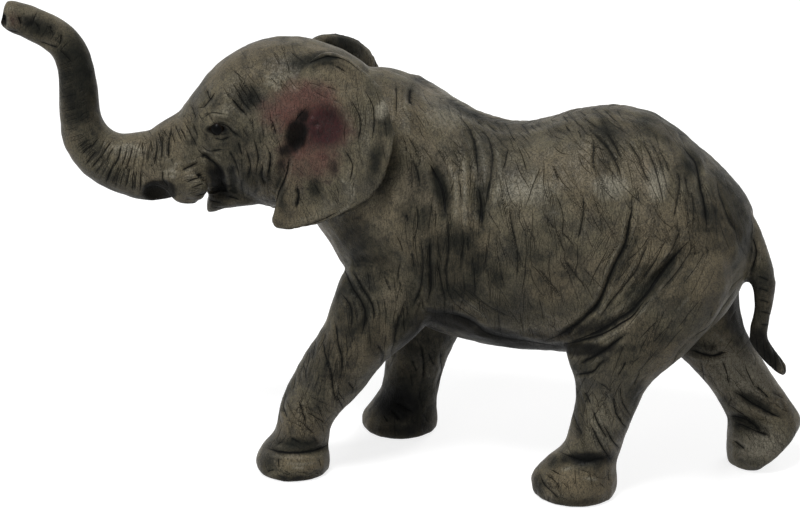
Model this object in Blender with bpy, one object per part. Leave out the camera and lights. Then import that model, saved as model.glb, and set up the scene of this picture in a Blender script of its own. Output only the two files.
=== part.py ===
"""Toy figure of an elephant calf that walks with its trunk raised.

Units are metres and +Z is up. The head looks along -X and the tail hangs towards +X.
The animal's left side faces -Y. The origin is on the ground, under the middle of the figure.
The figure is a rigid moulded one: a hollow body in two halves that meet along the spine, with a
head, trunk, lower jaw, ears, eyes, legs and tail that plug into it and are glued there.
"""

import math
from collections import namedtuple

import bmesh
import bpy
from mathutils import Vector

# Clearances and walls
JOINT_GAP = 0.0003
SHELL_WALL = 0.0026
CUT_OVERRUN = 0.004

# Body: from the rump to the front of the neck, and from the belly to the top of the back
RUMP_X = 0.0708
TORSO_LENGTH = 0.090
TORSO_DEPTH = 0.052
TORSO_WIDTH = 0.040
BELLY_HEIGHT = 0.0268

# How far the shoulder blades, the flanks' hollows, the brows, the temples and the forehead's two
# domes stand out from the plain oval sections, or lie below them
SHOULDER_SWELL = 0.0022
FLANK_HOLLOW = -0.0010
BROW_SWELL = 0.0010
TEMPLE_HOLLOW = -0.0012
FOREHEAD_SWELL = 0.0008

# Head, measured from the neck's pivot, about which it turns towards the animal's left
HEAD_TURN = math.radians(12)
HEAD_LENGTH = 0.050
HEAD_DEPTH = 0.035
HEAD_WIDTH = 0.026

# Upper lip folds beside the mouth, and the hollow between each fold and the trunk
LIP_HEIGHT = 0.0095
LIP_LENGTH = 0.0088
LIP_THICKNESS = 0.0048
MOUTH_HOLLOW_LENGTH = 0.0062
MOUTH_HOLLOW_HEIGHT = 0.0078
MOUTH_HOLLOW_WIDTH = 0.0070

# Trunk: forward reach and rise from the face to the tip, and its size at the root
TRUNK_REACH = 0.038
TRUNK_RISE = 0.0275
TRUNK_THICKNESS = 0.015
TRUNK_WIDTH = 0.013
NOSTRIL_DIAMETER = 0.0017
NOSTRIL_DEPTH = 0.004
NOSTRIL_SPACING = 0.0025
NOSTRIL_LIFT = 0.0003

# Lower jaw
JAW_LENGTH = 0.015
JAW_DEPTH = 0.006
JAW_WIDTH = 0.011

# Ears: the flare is how far the rear edge stands out beyond the root
EAR_HEIGHT = 0.037
EAR_WIDTH = 0.025
EAR_THICKNESS = 0.0024
EAR_FLARE = 0.0075
EAR_CUP = 0.0015
RIGHT_EAR_AHEAD = 0.0022
RIGHT_EAR_DROP = 0.0022
EAR_HOLE_DEPTH = 0.0012
EAR_HOLE_HEIGHT = 0.0068
EAR_HOLE_WIDTH = 0.0046

# Eyes
EYE_DIAMETER = 0.0034

# Legs: each foot's place ahead of the leg's root (less than nothing is behind it), the distance
# between the left and the right foot, and the leg's depth and width where its foot is widest
FRONT_LEFT_REACH = 0.0230
FRONT_RIGHT_REACH = 0.0106
HIND_LEFT_REACH = 0.0173
HIND_RIGHT_REACH = -0.0217
FRONT_TRACK = 0.0248
HIND_TRACK = 0.0226
FRONT_LEG_DEPTH = 0.0154
FRONT_LEG_WIDTH = 0.0148
HIND_LEG_DEPTH = 0.0172
HIND_LEG_WIDTH = 0.0156

# Tail
TAIL_LENGTH = 0.036
TAIL_THICKNESS = 0.006

# Bosses that line up the two halves of the body
BOSS_DIAMETER = 0.0070
PIN_DIAMETER = 0.0036
PIN_LENGTH = 0.0040

# Fineness of the lofted forms: sides of a ring, and steps between two stations
BODY_SIDES = 26
LIMB_SIDES = 16
SMALL_SIDES = 12
FINE_STEPS = 2

# Where the pieces meet, as shares of the piece that carries them
NECK_PLACE_SHARE = 0.772
NECK_HEIGHT_SHARE = 0.785
TRUNK_ROOT_FORWARD_SHARE = 0.90
TRUNK_ROOT_UP_SHARE = 0.03
JAW_ROOT_FORWARD_SHARE = 0.58
JAW_ROOT_UP_SHARE = -0.205
EAR_ROOT_FORWARD_SHARE = 0.60
EAR_LOBE_UP_SHARE = -0.39
EYE_FORWARD_SHARE = 0.80
EYE_UP_SHARE = 0.217
EYE_ASIDE_SHARE = 0.705
LIP_FORWARD_SHARE = 0.965
LIP_UP_SHARE = 0.005
LIP_ASIDE_SHARE = 0.44
HOLLOW_FORWARD_SHARE = 1.07
HOLLOW_UP_SHARE = -0.265
HOLLOW_ASIDE_SHARE = 0.46
EAR_HOLE_BACK_SHARE = 0.20
EAR_HOLE_UP_SHARE = 0.49
EAR_HOLE_ASIDE_SHARE = 1.02
FRONT_LEFT_ROOT_SHARE = 0.787
FRONT_RIGHT_ROOT_SHARE = 0.73
HIND_ROOT_SHARE = 0.195
FRONT_LEG_TOP_SHARE = 0.37
HIND_LEG_TOP_SHARE = 0.445
TAIL_ROOT_SHARE = 0.048
TAIL_HEIGHT_SHARE = 0.64

# The boss places: share of the body's length from the rump, and share of its depth
BOSS_PLACE_SHARES = ((0.23, 0.78), (0.53, 0.24), (0.53, 0.74), (0.73, 0.62))

# Stations of each form. The columns are shares: along the form, aside, up, half depth, half width.
# The last column is the station's lean in degrees: the way from the station back to the body,
# measured up from +X. Along is measured from the rump, the neck's pivot or the form's root.
TORSO_SHARES = (
    (0.022, 0.00, 0.52, 0.08, 0.09, 0),
    (0.030, 0.00, 0.515, 0.25, 0.31, 0),
    (0.060, 0.00, 0.484, 0.465, 0.555, 0),
    (0.112, 0.00, 0.468, 0.672, 0.735, 0),
    (0.185, 0.00, 0.488, 0.84, 0.865, 0),
    (0.260, 0.00, 0.510, 0.955, 0.945, 0),
    (0.350, 0.00, 0.514, 0.99, 0.985, 0),
    (0.440, 0.00, 0.492, 0.96, 1.00, 0),
    (0.530, 0.00, 0.463, 0.91, 1.00, 0),
    (0.620, 0.00, 0.473, 0.907, 0.985, 0),
    (0.705, 0.00, 0.512, 0.93, 0.94, -1),
    (0.795, -0.01, 0.575, 0.925, 0.87, -5),
    (0.865, -0.05, 0.660, 0.867, 0.79, -11),
    (0.912, -0.10, 0.753, 0.744, 0.70, -14),
    (0.953, -0.145, 0.803, 0.63, 0.60, -16),
    (0.990, -0.18, 0.84, 0.48, 0.47, -16),
    (1.002, -0.195, 0.85, 0.29, 0.275, -16),
)
HEAD_SHARES = (
    (0.08, 0, 0.07, 0.23, 0.23, 0),
    (0.14, 0, 0.07, 0.60, 0.615, 0),
    (0.23, 0, 0.09, 0.87, 0.845, 0),
    (0.36, 0, 0.13, 0.98, 0.97, 0),
    (0.50, 0, 0.153, 1.005, 1.015, 0),
    (0.63, 0, 0.16, 0.965, 0.97, 0),
    (0.73, 0, 0.168, 0.838, 0.86, 0),
    (0.81, 0, 0.143, 0.737, 0.76, 0),
    (0.88, 0, 0.086, 0.622, 0.67, 0),
    (0.95, 0, 0.035, 0.455, 0.57, 0),
    (1.01, 0, -0.023, 0.365, 0.46, 0),
    (1.04, 0, -0.046, 0.17, 0.23, 0),
)
TRUNK_SHARES = (
    (-0.065, 0, 0.015, 0.53, 0.49, 20),
    (0.00, 0, 0.00, 0.99, 0.92, 20),
    (0.105, 0, -0.08, 1.05, 1.02, 15),
    (0.25, 0, -0.16, 0.97, 0.97, 3),
    (0.40, 0, -0.135, 0.84, 0.89, -15),
    (0.52, 0, -0.06, 0.72, 0.80, -38),
    (0.595, 0, 0.085, 0.63, 0.71, -65),
    (0.613, 0, 0.255, 0.55, 0.63, -84),
    (0.613, 0, 0.433, 0.53, 0.585, -90),
    (0.626, 0, 0.596, 0.495, 0.54, -87),
    (0.658, 0, 0.735, 0.48, 0.515, -65),
    (0.735, 0, 0.845, 0.465, 0.49, -42),
    (0.837, 0, 0.92, 0.44, 0.47, -28),
    (0.93, 0, 0.975, 0.40, 0.46, -22),
    (0.98, 0, 1.00, 0.33, 0.40, -20),
)
LIP_SHARES = (
    (0.00, 0.00, 0.00, 0.34, 0.40, 80),
    (-0.03, 0.10, -0.20, 0.77, 0.90, 80),
    (-0.06, 0.20, -0.47, 0.95, 1.00, 80),
    (-0.10, 0.15, -0.74, 0.82, 0.80, 82),
    (-0.13, 0.05, -0.93, 0.58, 0.50, 85),
    (-0.15, 0.00, -1.00, 0.34, 0.30, 85),
)
JAW_SHARES = (
    (0.00, 0, 0.00, 0.53, 0.47, 0),
    (0.17, 0, -0.08, 1.00, 0.945, 0),
    (0.43, 0, -0.23, 1.00, 0.98, 0),
    (0.70, 0, -0.38, 0.87, 0.84, 0),
    (0.87, 0, -0.60, 0.76, 0.60, 0),
    (0.955, 0, -0.75, 0.50, 0.33, 0),
)
TAIL_SHARES = (
    (-0.13, 0.00, 0.055, 0.60, 0.60, 135),
    (-0.07, 0.00, 0.00, 0.97, 0.97, 130),
    (0.00, 0.00, -0.11, 1.03, 1.03, 118),
    (0.06, 0.00, -0.235, 1.00, 0.97, 112),
    (0.115, 0.01, -0.37, 0.90, 0.83, 104),
    (0.14, 0.02, -0.485, 0.74, 0.70, 92),
    (0.138, 0.025, -0.60, 0.62, 0.60, 86),
    (0.124, 0.035, -0.70, 0.52, 0.52, 88),
    (0.125, 0.04, -0.79, 0.47, 0.47, 102),
    (0.165, 0.05, -0.86, 0.50, 0.50, 125),
    (0.215, 0.06, -0.92, 0.53, 0.53, 132),
    (0.26, 0.065, -0.97, 0.40, 0.40, 125),
    (0.28, 0.07, -1.005, 0.17, 0.20, 120),
)
FRONT_LEFT_LEG_SHARES = (
    (0.00, 0.80, 1.035, 0.58, 0.40, 63),
    (0.025, 0.84, 1.00, 1.12, 0.78, 63),
    (0.175, 0.92, 0.835, 1.30, 0.985, 62),
    (0.40, 0.98, 0.655, 0.965, 0.92, 63),
    (0.59, 1.00, 0.51, 0.93, 0.87, 63),
    (0.76, 1.00, 0.38, 0.83, 0.81, 64),
    (0.875, 1.00, 0.267, 0.75, 0.765, 75),
    (0.91, 1.00, 0.18, 0.75, 0.765, 85),
    (0.97, 1.00, 0.113, 0.90, 0.90, 88),
    (1.00, 1.00, 0.057, 1.02, 1.02, 90),
    (1.00, 1.00, 0.02, 1.02, 1.02, 90),
    (1.00, 1.00, 0.00, 0.95, 0.95, 90),
)
FRONT_RIGHT_LEG_SHARES = (
    (0.00, 0.80, 1.03, 0.58, 0.40, 75),
    (0.04, 0.84, 1.00, 1.12, 0.78, 75),
    (0.17, 0.92, 0.835, 1.25, 0.975, 75),
    (0.32, 0.98, 0.663, 1.06, 0.95, 75),
    (0.47, 1.00, 0.522, 0.94, 0.90, 77),
    (0.62, 1.00, 0.40, 0.86, 0.84, 80),
    (0.735, 1.00, 0.278, 0.81, 0.80, 85),
    (0.81, 1.00, 0.187, 0.82, 0.80, 88),
    (0.935, 1.00, 0.113, 0.95, 0.93, 90),
    (1.00, 1.00, 0.057, 1.07, 1.04, 90),
    (1.00, 1.00, 0.02, 1.07, 1.04, 90),
    (1.00, 1.00, 0.00, 1.00, 0.97, 90),
)
HIND_LEFT_LEG_SHARES = (
    (0.00, 0.80, 1.17, 0.58, 0.33, 99),
    (0.025, 0.83, 1.13, 1.22, 0.665, 99),
    (0.145, 0.93, 0.94, 1.77, 1.13, 95),
    (0.31, 1.00, 0.77, 1.65, 1.12, 92),
    (0.485, 1.00, 0.635, 1.35, 1.05, 91),
    (0.58, 1.00, 0.53, 0.93, 0.92, 90),
    (0.635, 1.00, 0.43, 0.755, 0.835, 90),
    (0.715, 1.00, 0.32, 0.70, 0.78, 90),
    (0.785, 1.00, 0.225, 0.685, 0.755, 90),
    (0.90, 1.00, 0.152, 0.815, 0.845, 90),
    (0.99, 1.00, 0.084, 1.01, 1.01, 90),
    (1.00, 1.00, 0.032, 1.03, 1.02, 90),
    (1.00, 1.00, 0.00, 0.96, 0.95, 90),
)
HIND_RIGHT_LEG_SHARES = (
    (0.00, 0.80, 1.168, 0.58, 0.33, 99),
    (0.00, 0.83, 1.128, 1.22, 0.665, 99),
    (-0.01, 0.93, 0.93, 1.56, 1.13, 100),
    (0.075, 1.00, 0.75, 1.36, 1.10, 107),
    (0.25, 1.00, 0.595, 1.00, 0.96, 115),
    (0.45, 1.00, 0.472, 0.79, 0.85, 118),
    (0.645, 1.00, 0.364, 0.73, 0.79, 120),
    (0.78, 1.00, 0.268, 0.76, 0.78, 124),
    (0.825, 1.00, 0.184, 0.96, 0.89, 130),
    (0.87, 1.00, 0.12, 1.10, 0.99, 135),
    (0.95, 1.00, 0.080, 1.04, 0.98, 136),
    (1.00, 1.00, 0.060, 0.88, 0.85, 137),
)

# Swellings and hollows on both sides of a form. The columns are: place along the form and reach
# along it, both as shares of its length; angle from the top and reach round the section, both in
# degrees; and height
TORSO_SWELL_SHARES = (
    (0.80, 0.075, 34, 22, SHOULDER_SWELL),
    (0.30, 0.09, 62, 30, FLANK_HOLLOW),
)
HEAD_SWELL_SHARES = (
    (0.79, 0.07, 62, 20, BROW_SWELL),
    (0.66, 0.08, 58, 22, TEMPLE_HOLLOW),
    (0.55, 0.16, 24, 16, FOREHEAD_SWELL),
)

# The ear's rows from the lobe up. The columns are shares: up the ear, rear edge and front edge
# behind the root line, root aside as a share of the head's half width, and flare of the rear edge
EAR_SHARES = (
    (0.005, 0.12, 0.06, 0.73, 0.13),
    (0.02, 0.20, 0.03, 0.74, 0.24),
    (0.055, 0.36, 0.01, 0.75, 0.37),
    (0.11, 0.51, 0.03, 0.77, 0.53),
    (0.17, 0.67, 0.05, 0.785, 0.69),
    (0.245, 0.81, 0.07, 0.83, 0.83),
    (0.35, 0.91, 0.11, 0.885, 0.91),
    (0.485, 0.97, 0.15, 0.92, 0.93),
    (0.62, 1.00, 0.19, 0.92, 0.93),
    (0.755, 0.96, 0.23, 0.85, 1.00),
    (0.865, 0.89, 0.26, 0.73, 0.97),
    (0.935, 0.77, 0.32, 0.69, 0.80),
    (0.98, 0.65, 0.40, 0.73, 0.53),
    (1.00, 0.56, 0.48, 0.81, 0.24),
)

# Colours of the painted finish
SKIN_COLOUR = (0.085, 0.073, 0.060, 1.0)
EYE_COLOUR = (0.012, 0.010, 0.009, 1.0)
SKIN_ROUGHNESS = 0.48
EYE_ROUGHNESS = 0.15

LEFT = -1
MIDDLE = 0
RIGHT = 1

Pair = namedtuple("Pair", "top_share track depth width")
Leg = namedtuple("Leg", "name table root_share reach side pair")

FRONT_PAIR = Pair(FRONT_LEG_TOP_SHARE, FRONT_TRACK, FRONT_LEG_DEPTH, FRONT_LEG_WIDTH)
HIND_PAIR = Pair(HIND_LEG_TOP_SHARE, HIND_TRACK, HIND_LEG_DEPTH, HIND_LEG_WIDTH)
FRONT_LEFT_LEG = Leg(
    "front_left_leg", FRONT_LEFT_LEG_SHARES, FRONT_LEFT_ROOT_SHARE, FRONT_LEFT_REACH, LEFT, FRONT_PAIR,
)
FRONT_RIGHT_LEG = Leg(
    "front_right_leg", FRONT_RIGHT_LEG_SHARES, FRONT_RIGHT_ROOT_SHARE, FRONT_RIGHT_REACH, RIGHT, FRONT_PAIR,
)
HIND_LEFT_LEG = Leg(
    "hind_left_leg", HIND_LEFT_LEG_SHARES, HIND_ROOT_SHARE, HIND_LEFT_REACH, LEFT, HIND_PAIR,
)
HIND_RIGHT_LEG = Leg(
    "hind_right_leg", HIND_RIGHT_LEG_SHARES, HIND_ROOT_SHARE, HIND_RIGHT_REACH, RIGHT, HIND_PAIR,
)


def clear_scene():
    """Remove the objects that the file opened with."""
    for item in list(bpy.data.objects):
        bpy.data.objects.remove(item, do_unlink=True)


def new_collection(name):
    """Make a collection in the scene."""
    collection = bpy.data.collections.new(name)
    bpy.context.scene.collection.children.link(collection)
    return collection


def new_material(name, colour, roughness):
    """Make a plain painted finish."""
    material = bpy.data.materials.new(name)
    material.use_nodes = True
    shader = material.node_tree.nodes["Principled BSDF"]
    shader.inputs["Base Color"].default_value = colour
    shader.inputs["Roughness"].default_value = roughness
    shader.inputs["Metallic"].default_value = 0.0
    return material


clear_scene()
FIGURE = new_collection("elephant_calf")
CUTTERS = new_collection("cutters")
SKIN = new_material("painted_skin", SKIN_COLOUR, SKIN_ROUGHNESS)
EYE_PAINT = new_material("eye_paint", EYE_COLOUR, EYE_ROUGHNESS)


def blend_row(before, start, end, after, t):
    """Blend two rows of numbers along a smooth curve that passes through both."""
    row = []
    for p, a, b, n in zip(before, start, end, after):
        square = 2 * p - 5 * a + 4 * b - n
        cube = 3 * a - p - 3 * b + n
        row.append((2 * a + (b - p) * t + square * t ** 2 + cube * t ** 3) / 2)
    return tuple(row)


def smooth_rows(rows, steps):
    """Add rows between the given ones, so that a loft runs smoothly through them."""
    result = []
    for index in range(len(rows) - 1):
        before = rows[max(index - 1, 0)]
        after = rows[min(index + 2, len(rows) - 1)]
        for step in range(steps):
            result.append(blend_row(before, rows[index], rows[index + 1], after, step / steps))
    result.append(rows[-1])
    return result


def stations_of(table, origin, along, aside, up, deep, wide):
    """Turn a table of shares into stations: place, half depth, half width and lean."""
    stations = []
    for place, side, height, half_deep, half_wide, lean in table:
        centre = (origin.x + place * along, origin.y + side * aside, origin.z + height * up)
        stations.append((*centre, half_deep * deep / 2, half_wide * wide / 2, lean))
    return stations


def oval_ring(station, sides, swell):
    """Points of one oval ring, square to the way back to the body, with its swellings."""
    x, y, z, half_deep, half_wide, lean = station
    angle = math.radians(lean)
    depth_way = Vector((-math.sin(angle), 0, math.cos(angle)))
    side_way = Vector((0, 1, 0))
    ring = []
    for index in range(sides):
        turn = 2 * math.pi * index / sides
        extra = swell(x, turn)
        depth = depth_way * math.cos(turn) * (half_deep + extra)
        ring.append(Vector((x, y, z)) + depth + side_way * math.sin(turn) * (half_wide + extra))
    return ring


def no_swell(x, turn):
    """A form without swellings."""
    return 0.0


def swell_of(table, start, length):
    """Make a function that gives the swelling at a place and an angle from the top."""
    def swell(x, turn):
        from_top = abs(math.degrees(math.remainder(turn, 2 * math.pi)))
        total = 0.0
        for place, reach, angle, spread, height in table:
            along = (x - start - place * length) / (reach * length)
            around = (from_top - angle) / spread
            total += height * math.exp(-along ** 2 - around ** 2)
        return total

    return swell


def skin_rings(name, rings, grow=0.0):
    """Join rings of equal count into one closed mesh, moved outwards by grow."""
    mesh = bpy.data.meshes.new(name)
    bm = bmesh.new()
    loops = [[bm.verts.new(point) for point in ring] for ring in rings]
    for lower, upper in zip(loops, loops[1:]):
        for index in range(len(lower)):
            after = (index + 1) % len(lower)
            bm.faces.new((lower[index], lower[after], upper[after], upper[index]))
    caps = [bm.faces.new(loops[0]), bm.faces.new(loops[-1])]
    bmesh.ops.poke(bm, faces=caps)
    bmesh.ops.recalc_face_normals(bm, faces=bm.faces)
    if grow:
        bm.normal_update()
        moves = [(vert, vert.normal * grow) for vert in bm.verts]
        for vert, move in moves:
            vert.co += move
    bm.to_mesh(mesh)
    bm.free()
    return mesh


def loft(name, stations, sides, grow=0.0, steps=FINE_STEPS, swell=no_swell):
    """Make a smooth closed form through the stations."""
    rings = [oval_ring(row, sides, swell) for row in smooth_rows(stations, steps)]
    return skin_rings(name, rings, grow)


def place_object(name, mesh, collection, parent=None):
    """Put a mesh into a collection as a named object."""
    item = bpy.data.objects.new(name, mesh)
    collection.objects.link(item)
    item.parent = parent
    return item


def place_piece(name, mesh, material, parent=None):
    """Add one moulded piece of the figure."""
    mesh.materials.append(material)
    mesh.shade_smooth()
    return place_object(name, mesh, FIGURE, parent)


def place_cutter(name, mesh, parent=None):
    """Add a helper that only cuts or joins."""
    item = place_object(name, mesh, CUTTERS, parent)
    item.hide_render = True
    item.display_type = "WIRE"
    return item


def combine(piece, helper, operation):
    """Cut a piece with a helper, join the helper to it, or keep what they share."""
    modifier = piece.modifiers.new(operation.lower() + "_" + helper.name, "BOOLEAN")
    modifier.operation = operation
    modifier.object = helper
    modifier.solver = "EXACT"


def box_mesh(name, low, high):
    """Make a box between two corners."""
    bm = bmesh.new()
    bmesh.ops.create_cube(bm, size=1)
    for vert in bm.verts:
        for axis in range(3):
            vert.co[axis] = high[axis] if vert.co[axis] > 0 else low[axis]
    return finish_mesh(name, bm)


def oval_mesh(name, centre, size, grow=0.0):
    """Make an egg-shaped ball of the given length, width and height."""
    bm = bmesh.new()
    bmesh.ops.create_uvsphere(bm, u_segments=SMALL_SIDES, v_segments=SMALL_SIDES // 2, radius=1)
    for vert in bm.verts:
        vert.co = centre + Vector([vert.co[axis] * (size[axis] / 2 + grow) for axis in range(3)])
    return finish_mesh(name, bm)


def rod_mesh(name, start, end, diameter):
    """Make a round rod between two points."""
    bm = bmesh.new()
    way = end - start
    turn = Vector((0, 0, 1)).rotation_difference(way).to_matrix().to_4x4()
    turn.translation = (start + end) / 2
    bmesh.ops.create_cone(
        bm, cap_ends=True, segments=SMALL_SIDES, radius1=diameter / 2, radius2=diameter / 2,
        depth=way.length, matrix=turn,
    )
    return finish_mesh(name, bm)


def finish_mesh(name, bm):
    """Store a bmesh as a mesh with its faces pointing out."""
    bmesh.ops.recalc_face_normals(bm, faces=bm.faces)
    mesh = bpy.data.meshes.new(name)
    bm.to_mesh(mesh)
    bm.free()
    return mesh


def torso_point(place_share, height_share):
    """A point in the figure's middle plane, by its shares of the body's length and depth."""
    x = RUMP_X - place_share * TORSO_LENGTH
    z = BELLY_HEIGHT + height_share * TORSO_DEPTH
    return Vector((x, 0, z))


def torso_stations():
    """Stations of the body's outer skin."""
    origin = torso_point(0, 0)
    return stations_of(
        TORSO_SHARES, origin, -TORSO_LENGTH, TORSO_WIDTH / 2, TORSO_DEPTH, TORSO_DEPTH, TORSO_WIDTH,
    )


def cavity_stations():
    """Stations of the body's hollow, a wall inside its skin, without the narrow ends."""
    inner = []
    for x, y, z, half_deep, half_wide, lean in torso_stations()[3:-3]:
        inner.append((x, y, z, half_deep - SHELL_WALL, half_wide - SHELL_WALL, lean))
    return inner


def head_forward(share):
    """Distance ahead of the neck's pivot as a share of the head's length."""
    return -share * HEAD_LENGTH


def trunk_origin():
    """The trunk's root in the head's frame."""
    return Vector((head_forward(TRUNK_ROOT_FORWARD_SHARE), 0, TRUNK_ROOT_UP_SHARE * HEAD_DEPTH))


def trunk_stations():
    """Stations of the raised trunk."""
    return stations_of(
        TRUNK_SHARES, trunk_origin(), -TRUNK_REACH, TRUNK_WIDTH, TRUNK_RISE, TRUNK_THICKNESS, TRUNK_WIDTH,
    )


def jaw_stations():
    """Stations of the lower jaw."""
    up = JAW_ROOT_UP_SHARE * HEAD_DEPTH
    origin = Vector((head_forward(JAW_ROOT_FORWARD_SHARE), 0, up))
    return stations_of(JAW_SHARES, origin, -JAW_LENGTH, JAW_WIDTH, JAW_DEPTH, JAW_DEPTH, JAW_WIDTH)


def ear_root(side):
    """The foot of an ear's root line, in the middle plane of the head's frame."""
    root = Vector((head_forward(EAR_ROOT_FORWARD_SHARE), 0, EAR_LOBE_UP_SHARE * HEAD_DEPTH))
    if side == RIGHT:
        root -= Vector((RIGHT_EAR_AHEAD, 0, RIGHT_EAR_DROP))
    return root


def ear_ring(row, side):
    """Points round one row of an ear: along its outer face and back along its inner face."""
    up, rear, front, root, flare = row
    ring = []
    for index in range(LIMB_SIDES):
        turn = 2 * math.pi * index / LIMB_SIDES
        share = (1 - math.cos(turn)) / 2
        back = (front + (rear - front) * share) * EAR_WIDTH
        stand = root * HEAD_WIDTH / 2 + flare * share * EAR_FLARE - math.sin(math.pi * share) * EAR_CUP
        rim = math.copysign(math.sqrt(abs(math.sin(turn))), math.sin(turn))
        stand += rim * EAR_THICKNESS / 2
        ring.append(ear_root(side) + Vector((back, side * stand, up * EAR_HEIGHT)))
    return ring


def ear_mesh(name, side, grow=0.0):
    """Make one ear, thin and cupped, from its rows."""
    rings = [ear_ring(row, side) for row in EAR_SHARES]
    return skin_rings(name, rings, grow)


def ear_hole_mesh(name, side):
    """The shallow hollow at the ear's root."""
    aside = side * EAR_HOLE_ASIDE_SHARE * HEAD_WIDTH / 2
    offset = Vector((EAR_HOLE_BACK_SHARE * EAR_WIDTH, aside, EAR_HOLE_UP_SHARE * EAR_HEIGHT))
    return oval_mesh(name, ear_root(side) + offset, (EAR_HOLE_WIDTH, 2 * EAR_HOLE_DEPTH, EAR_HOLE_HEIGHT))


def lip_mesh(name, side, grow=0.0):
    """The fold of the upper lip beside the mouth."""
    aside = side * LIP_ASIDE_SHARE * HEAD_WIDTH / 2
    origin = Vector((head_forward(LIP_FORWARD_SHARE), aside, LIP_UP_SHARE * HEAD_DEPTH))
    stations = stations_of(
        LIP_SHARES, origin, -LIP_LENGTH, side * LIP_THICKNESS, LIP_HEIGHT, LIP_LENGTH, LIP_THICKNESS,
    )
    return loft(name, stations, SMALL_SIDES, grow)


def mouth_hollow_mesh(name, side):
    """The hollow between the trunk's root and the fold of the lip."""
    x = head_forward(HOLLOW_FORWARD_SHARE)
    y = side * HOLLOW_ASIDE_SHARE * HEAD_WIDTH / 2
    centre = Vector((x, y, HOLLOW_UP_SHARE * HEAD_DEPTH))
    return oval_mesh(name, centre, (MOUTH_HOLLOW_LENGTH, MOUTH_HOLLOW_WIDTH, MOUTH_HOLLOW_HEIGHT))


def eye_mesh(name, side, grow=0.0):
    """One bead-like eye."""
    y = side * EYE_ASIDE_SHARE * HEAD_WIDTH / 2
    centre = Vector((head_forward(EYE_FORWARD_SHARE), y, EYE_UP_SHARE * HEAD_DEPTH))
    return oval_mesh(name, centre, (EYE_DIAMETER, EYE_DIAMETER, EYE_DIAMETER), grow)


def leg_stations(leg):
    """Stations of a leg, from inside the body down to its foot."""
    origin = Vector((RUMP_X - leg.root_share * TORSO_LENGTH, 0, 0))
    height = BELLY_HEIGHT + leg.pair.top_share * TORSO_DEPTH
    half_track = leg.side * leg.pair.track / 2
    return stations_of(leg.table, origin, -leg.reach, half_track, height, leg.pair.depth, leg.pair.width)


def tail_stations():
    """Stations of the hanging tail and its tuft."""
    origin = torso_point(TAIL_ROOT_SHARE, TAIL_HEIGHT_SHARE)
    return stations_of(
        TAIL_SHARES, origin, TAIL_LENGTH, TAIL_LENGTH, TAIL_LENGTH, TAIL_THICKNESS, TAIL_THICKNESS,
    )


def make_neck_pivot():
    """The empty that carries the head and turns it."""
    pivot = bpy.data.objects.new("neck_pivot", None)
    FIGURE.objects.link(pivot)
    pivot.location = torso_point(NECK_PLACE_SHARE, NECK_HEIGHT_SHARE)
    pivot.rotation_euler.z = HEAD_TURN
    return pivot


def make_limbs():
    """Make the legs and the tail, and return the cutters for their sockets, each with its side."""
    low = (-2 * TORSO_LENGTH, -TORSO_WIDTH, -TORSO_DEPTH)
    high = (2 * TORSO_LENGTH, TORSO_WIDTH, 0)
    ground = place_cutter("ground_cut", box_mesh("ground_cut", low, high))
    sockets = []
    for leg in (FRONT_LEFT_LEG, FRONT_RIGHT_LEG, HIND_LEFT_LEG, HIND_RIGHT_LEG):
        stations = leg_stations(leg)
        piece = place_piece(leg.name, loft(leg.name, stations, LIMB_SIDES), SKIN)
        if leg is HIND_RIGHT_LEG:
            combine(piece, ground, "DIFFERENCE")
        socket = loft(leg.name + "_socket", stations, LIMB_SIDES, JOINT_GAP)
        sockets.append((leg.side, place_cutter(leg.name + "_socket", socket)))
    place_piece("tail", loft("tail", tail_stations(), SMALL_SIDES), SKIN)
    tail_socket = loft("tail_socket", tail_stations(), SMALL_SIDES, JOINT_GAP)
    sockets.append((MIDDLE, place_cutter("tail_socket", tail_socket)))
    return sockets


def make_face(head, pivot):
    """Make the trunk, lower jaw, ears and eyes, and cut their seats in the head."""
    trunk = place_piece("trunk", loft("trunk", trunk_stations(), LIMB_SIDES), SKIN, pivot)
    trunk_seat = loft("trunk_seat", trunk_stations(), LIMB_SIDES, JOINT_GAP)
    place_piece("lower_jaw", loft("lower_jaw", jaw_stations(), SMALL_SIDES), SKIN, pivot)
    jaw_seat = loft("jaw_seat", jaw_stations(), SMALL_SIDES, JOINT_GAP)
    seats = [place_cutter("trunk_seat", trunk_seat, pivot), place_cutter("jaw_seat", jaw_seat, pivot)]
    ear_seats = []
    for side, word in ((LEFT, "left"), (RIGHT, "right")):
        seats.append(make_lip(head, trunk, pivot, side, word))
        seats.append(make_eye(pivot, side, word))
        ear_seats.append((side, make_ear(pivot, side, word)))
    for seat in seats + [seat for side, seat in ear_seats]:
        combine(head, seat, "DIFFERENCE")
    cut_nostrils(trunk, pivot)
    return ear_seats


def make_lip(head, trunk, pivot, side, word):
    """Join a fold of the upper lip to the trunk, cut the hollow beside it, and return its seat."""
    lip = place_cutter(word + "_lip", lip_mesh(word + "_lip", side), pivot)
    combine(trunk, lip, "UNION")
    hollow = mouth_hollow_mesh(word + "_mouth_hollow", side)
    hollow_cutter = place_cutter(word + "_mouth_hollow", hollow, pivot)
    combine(head, hollow_cutter, "DIFFERENCE")
    combine(trunk, hollow_cutter, "DIFFERENCE")
    return place_cutter(word + "_lip_seat", lip_mesh(word + "_lip_seat", side, JOINT_GAP), pivot)


def make_ear(pivot, side, word):
    """Make an ear with its shallow hole, and return the cutter for its seat."""
    ear = place_piece(word + "_ear", ear_mesh(word + "_ear", side), SKIN, pivot)
    hole = place_cutter(word + "_ear_hole", ear_hole_mesh(word + "_ear_hole", side), pivot)
    combine(ear, hole, "DIFFERENCE")
    return place_cutter(word + "_ear_seat", ear_mesh(word + "_ear_seat", side, JOINT_GAP), pivot)


def make_eye(pivot, side, word):
    """Make an eye, and return the cutter for its socket."""
    place_piece(word + "_eye", eye_mesh(word + "_eye", side), EYE_PAINT, pivot)
    return place_cutter(word + "_eye_seat", eye_mesh(word + "_eye_seat", side, JOINT_GAP), pivot)


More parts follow.
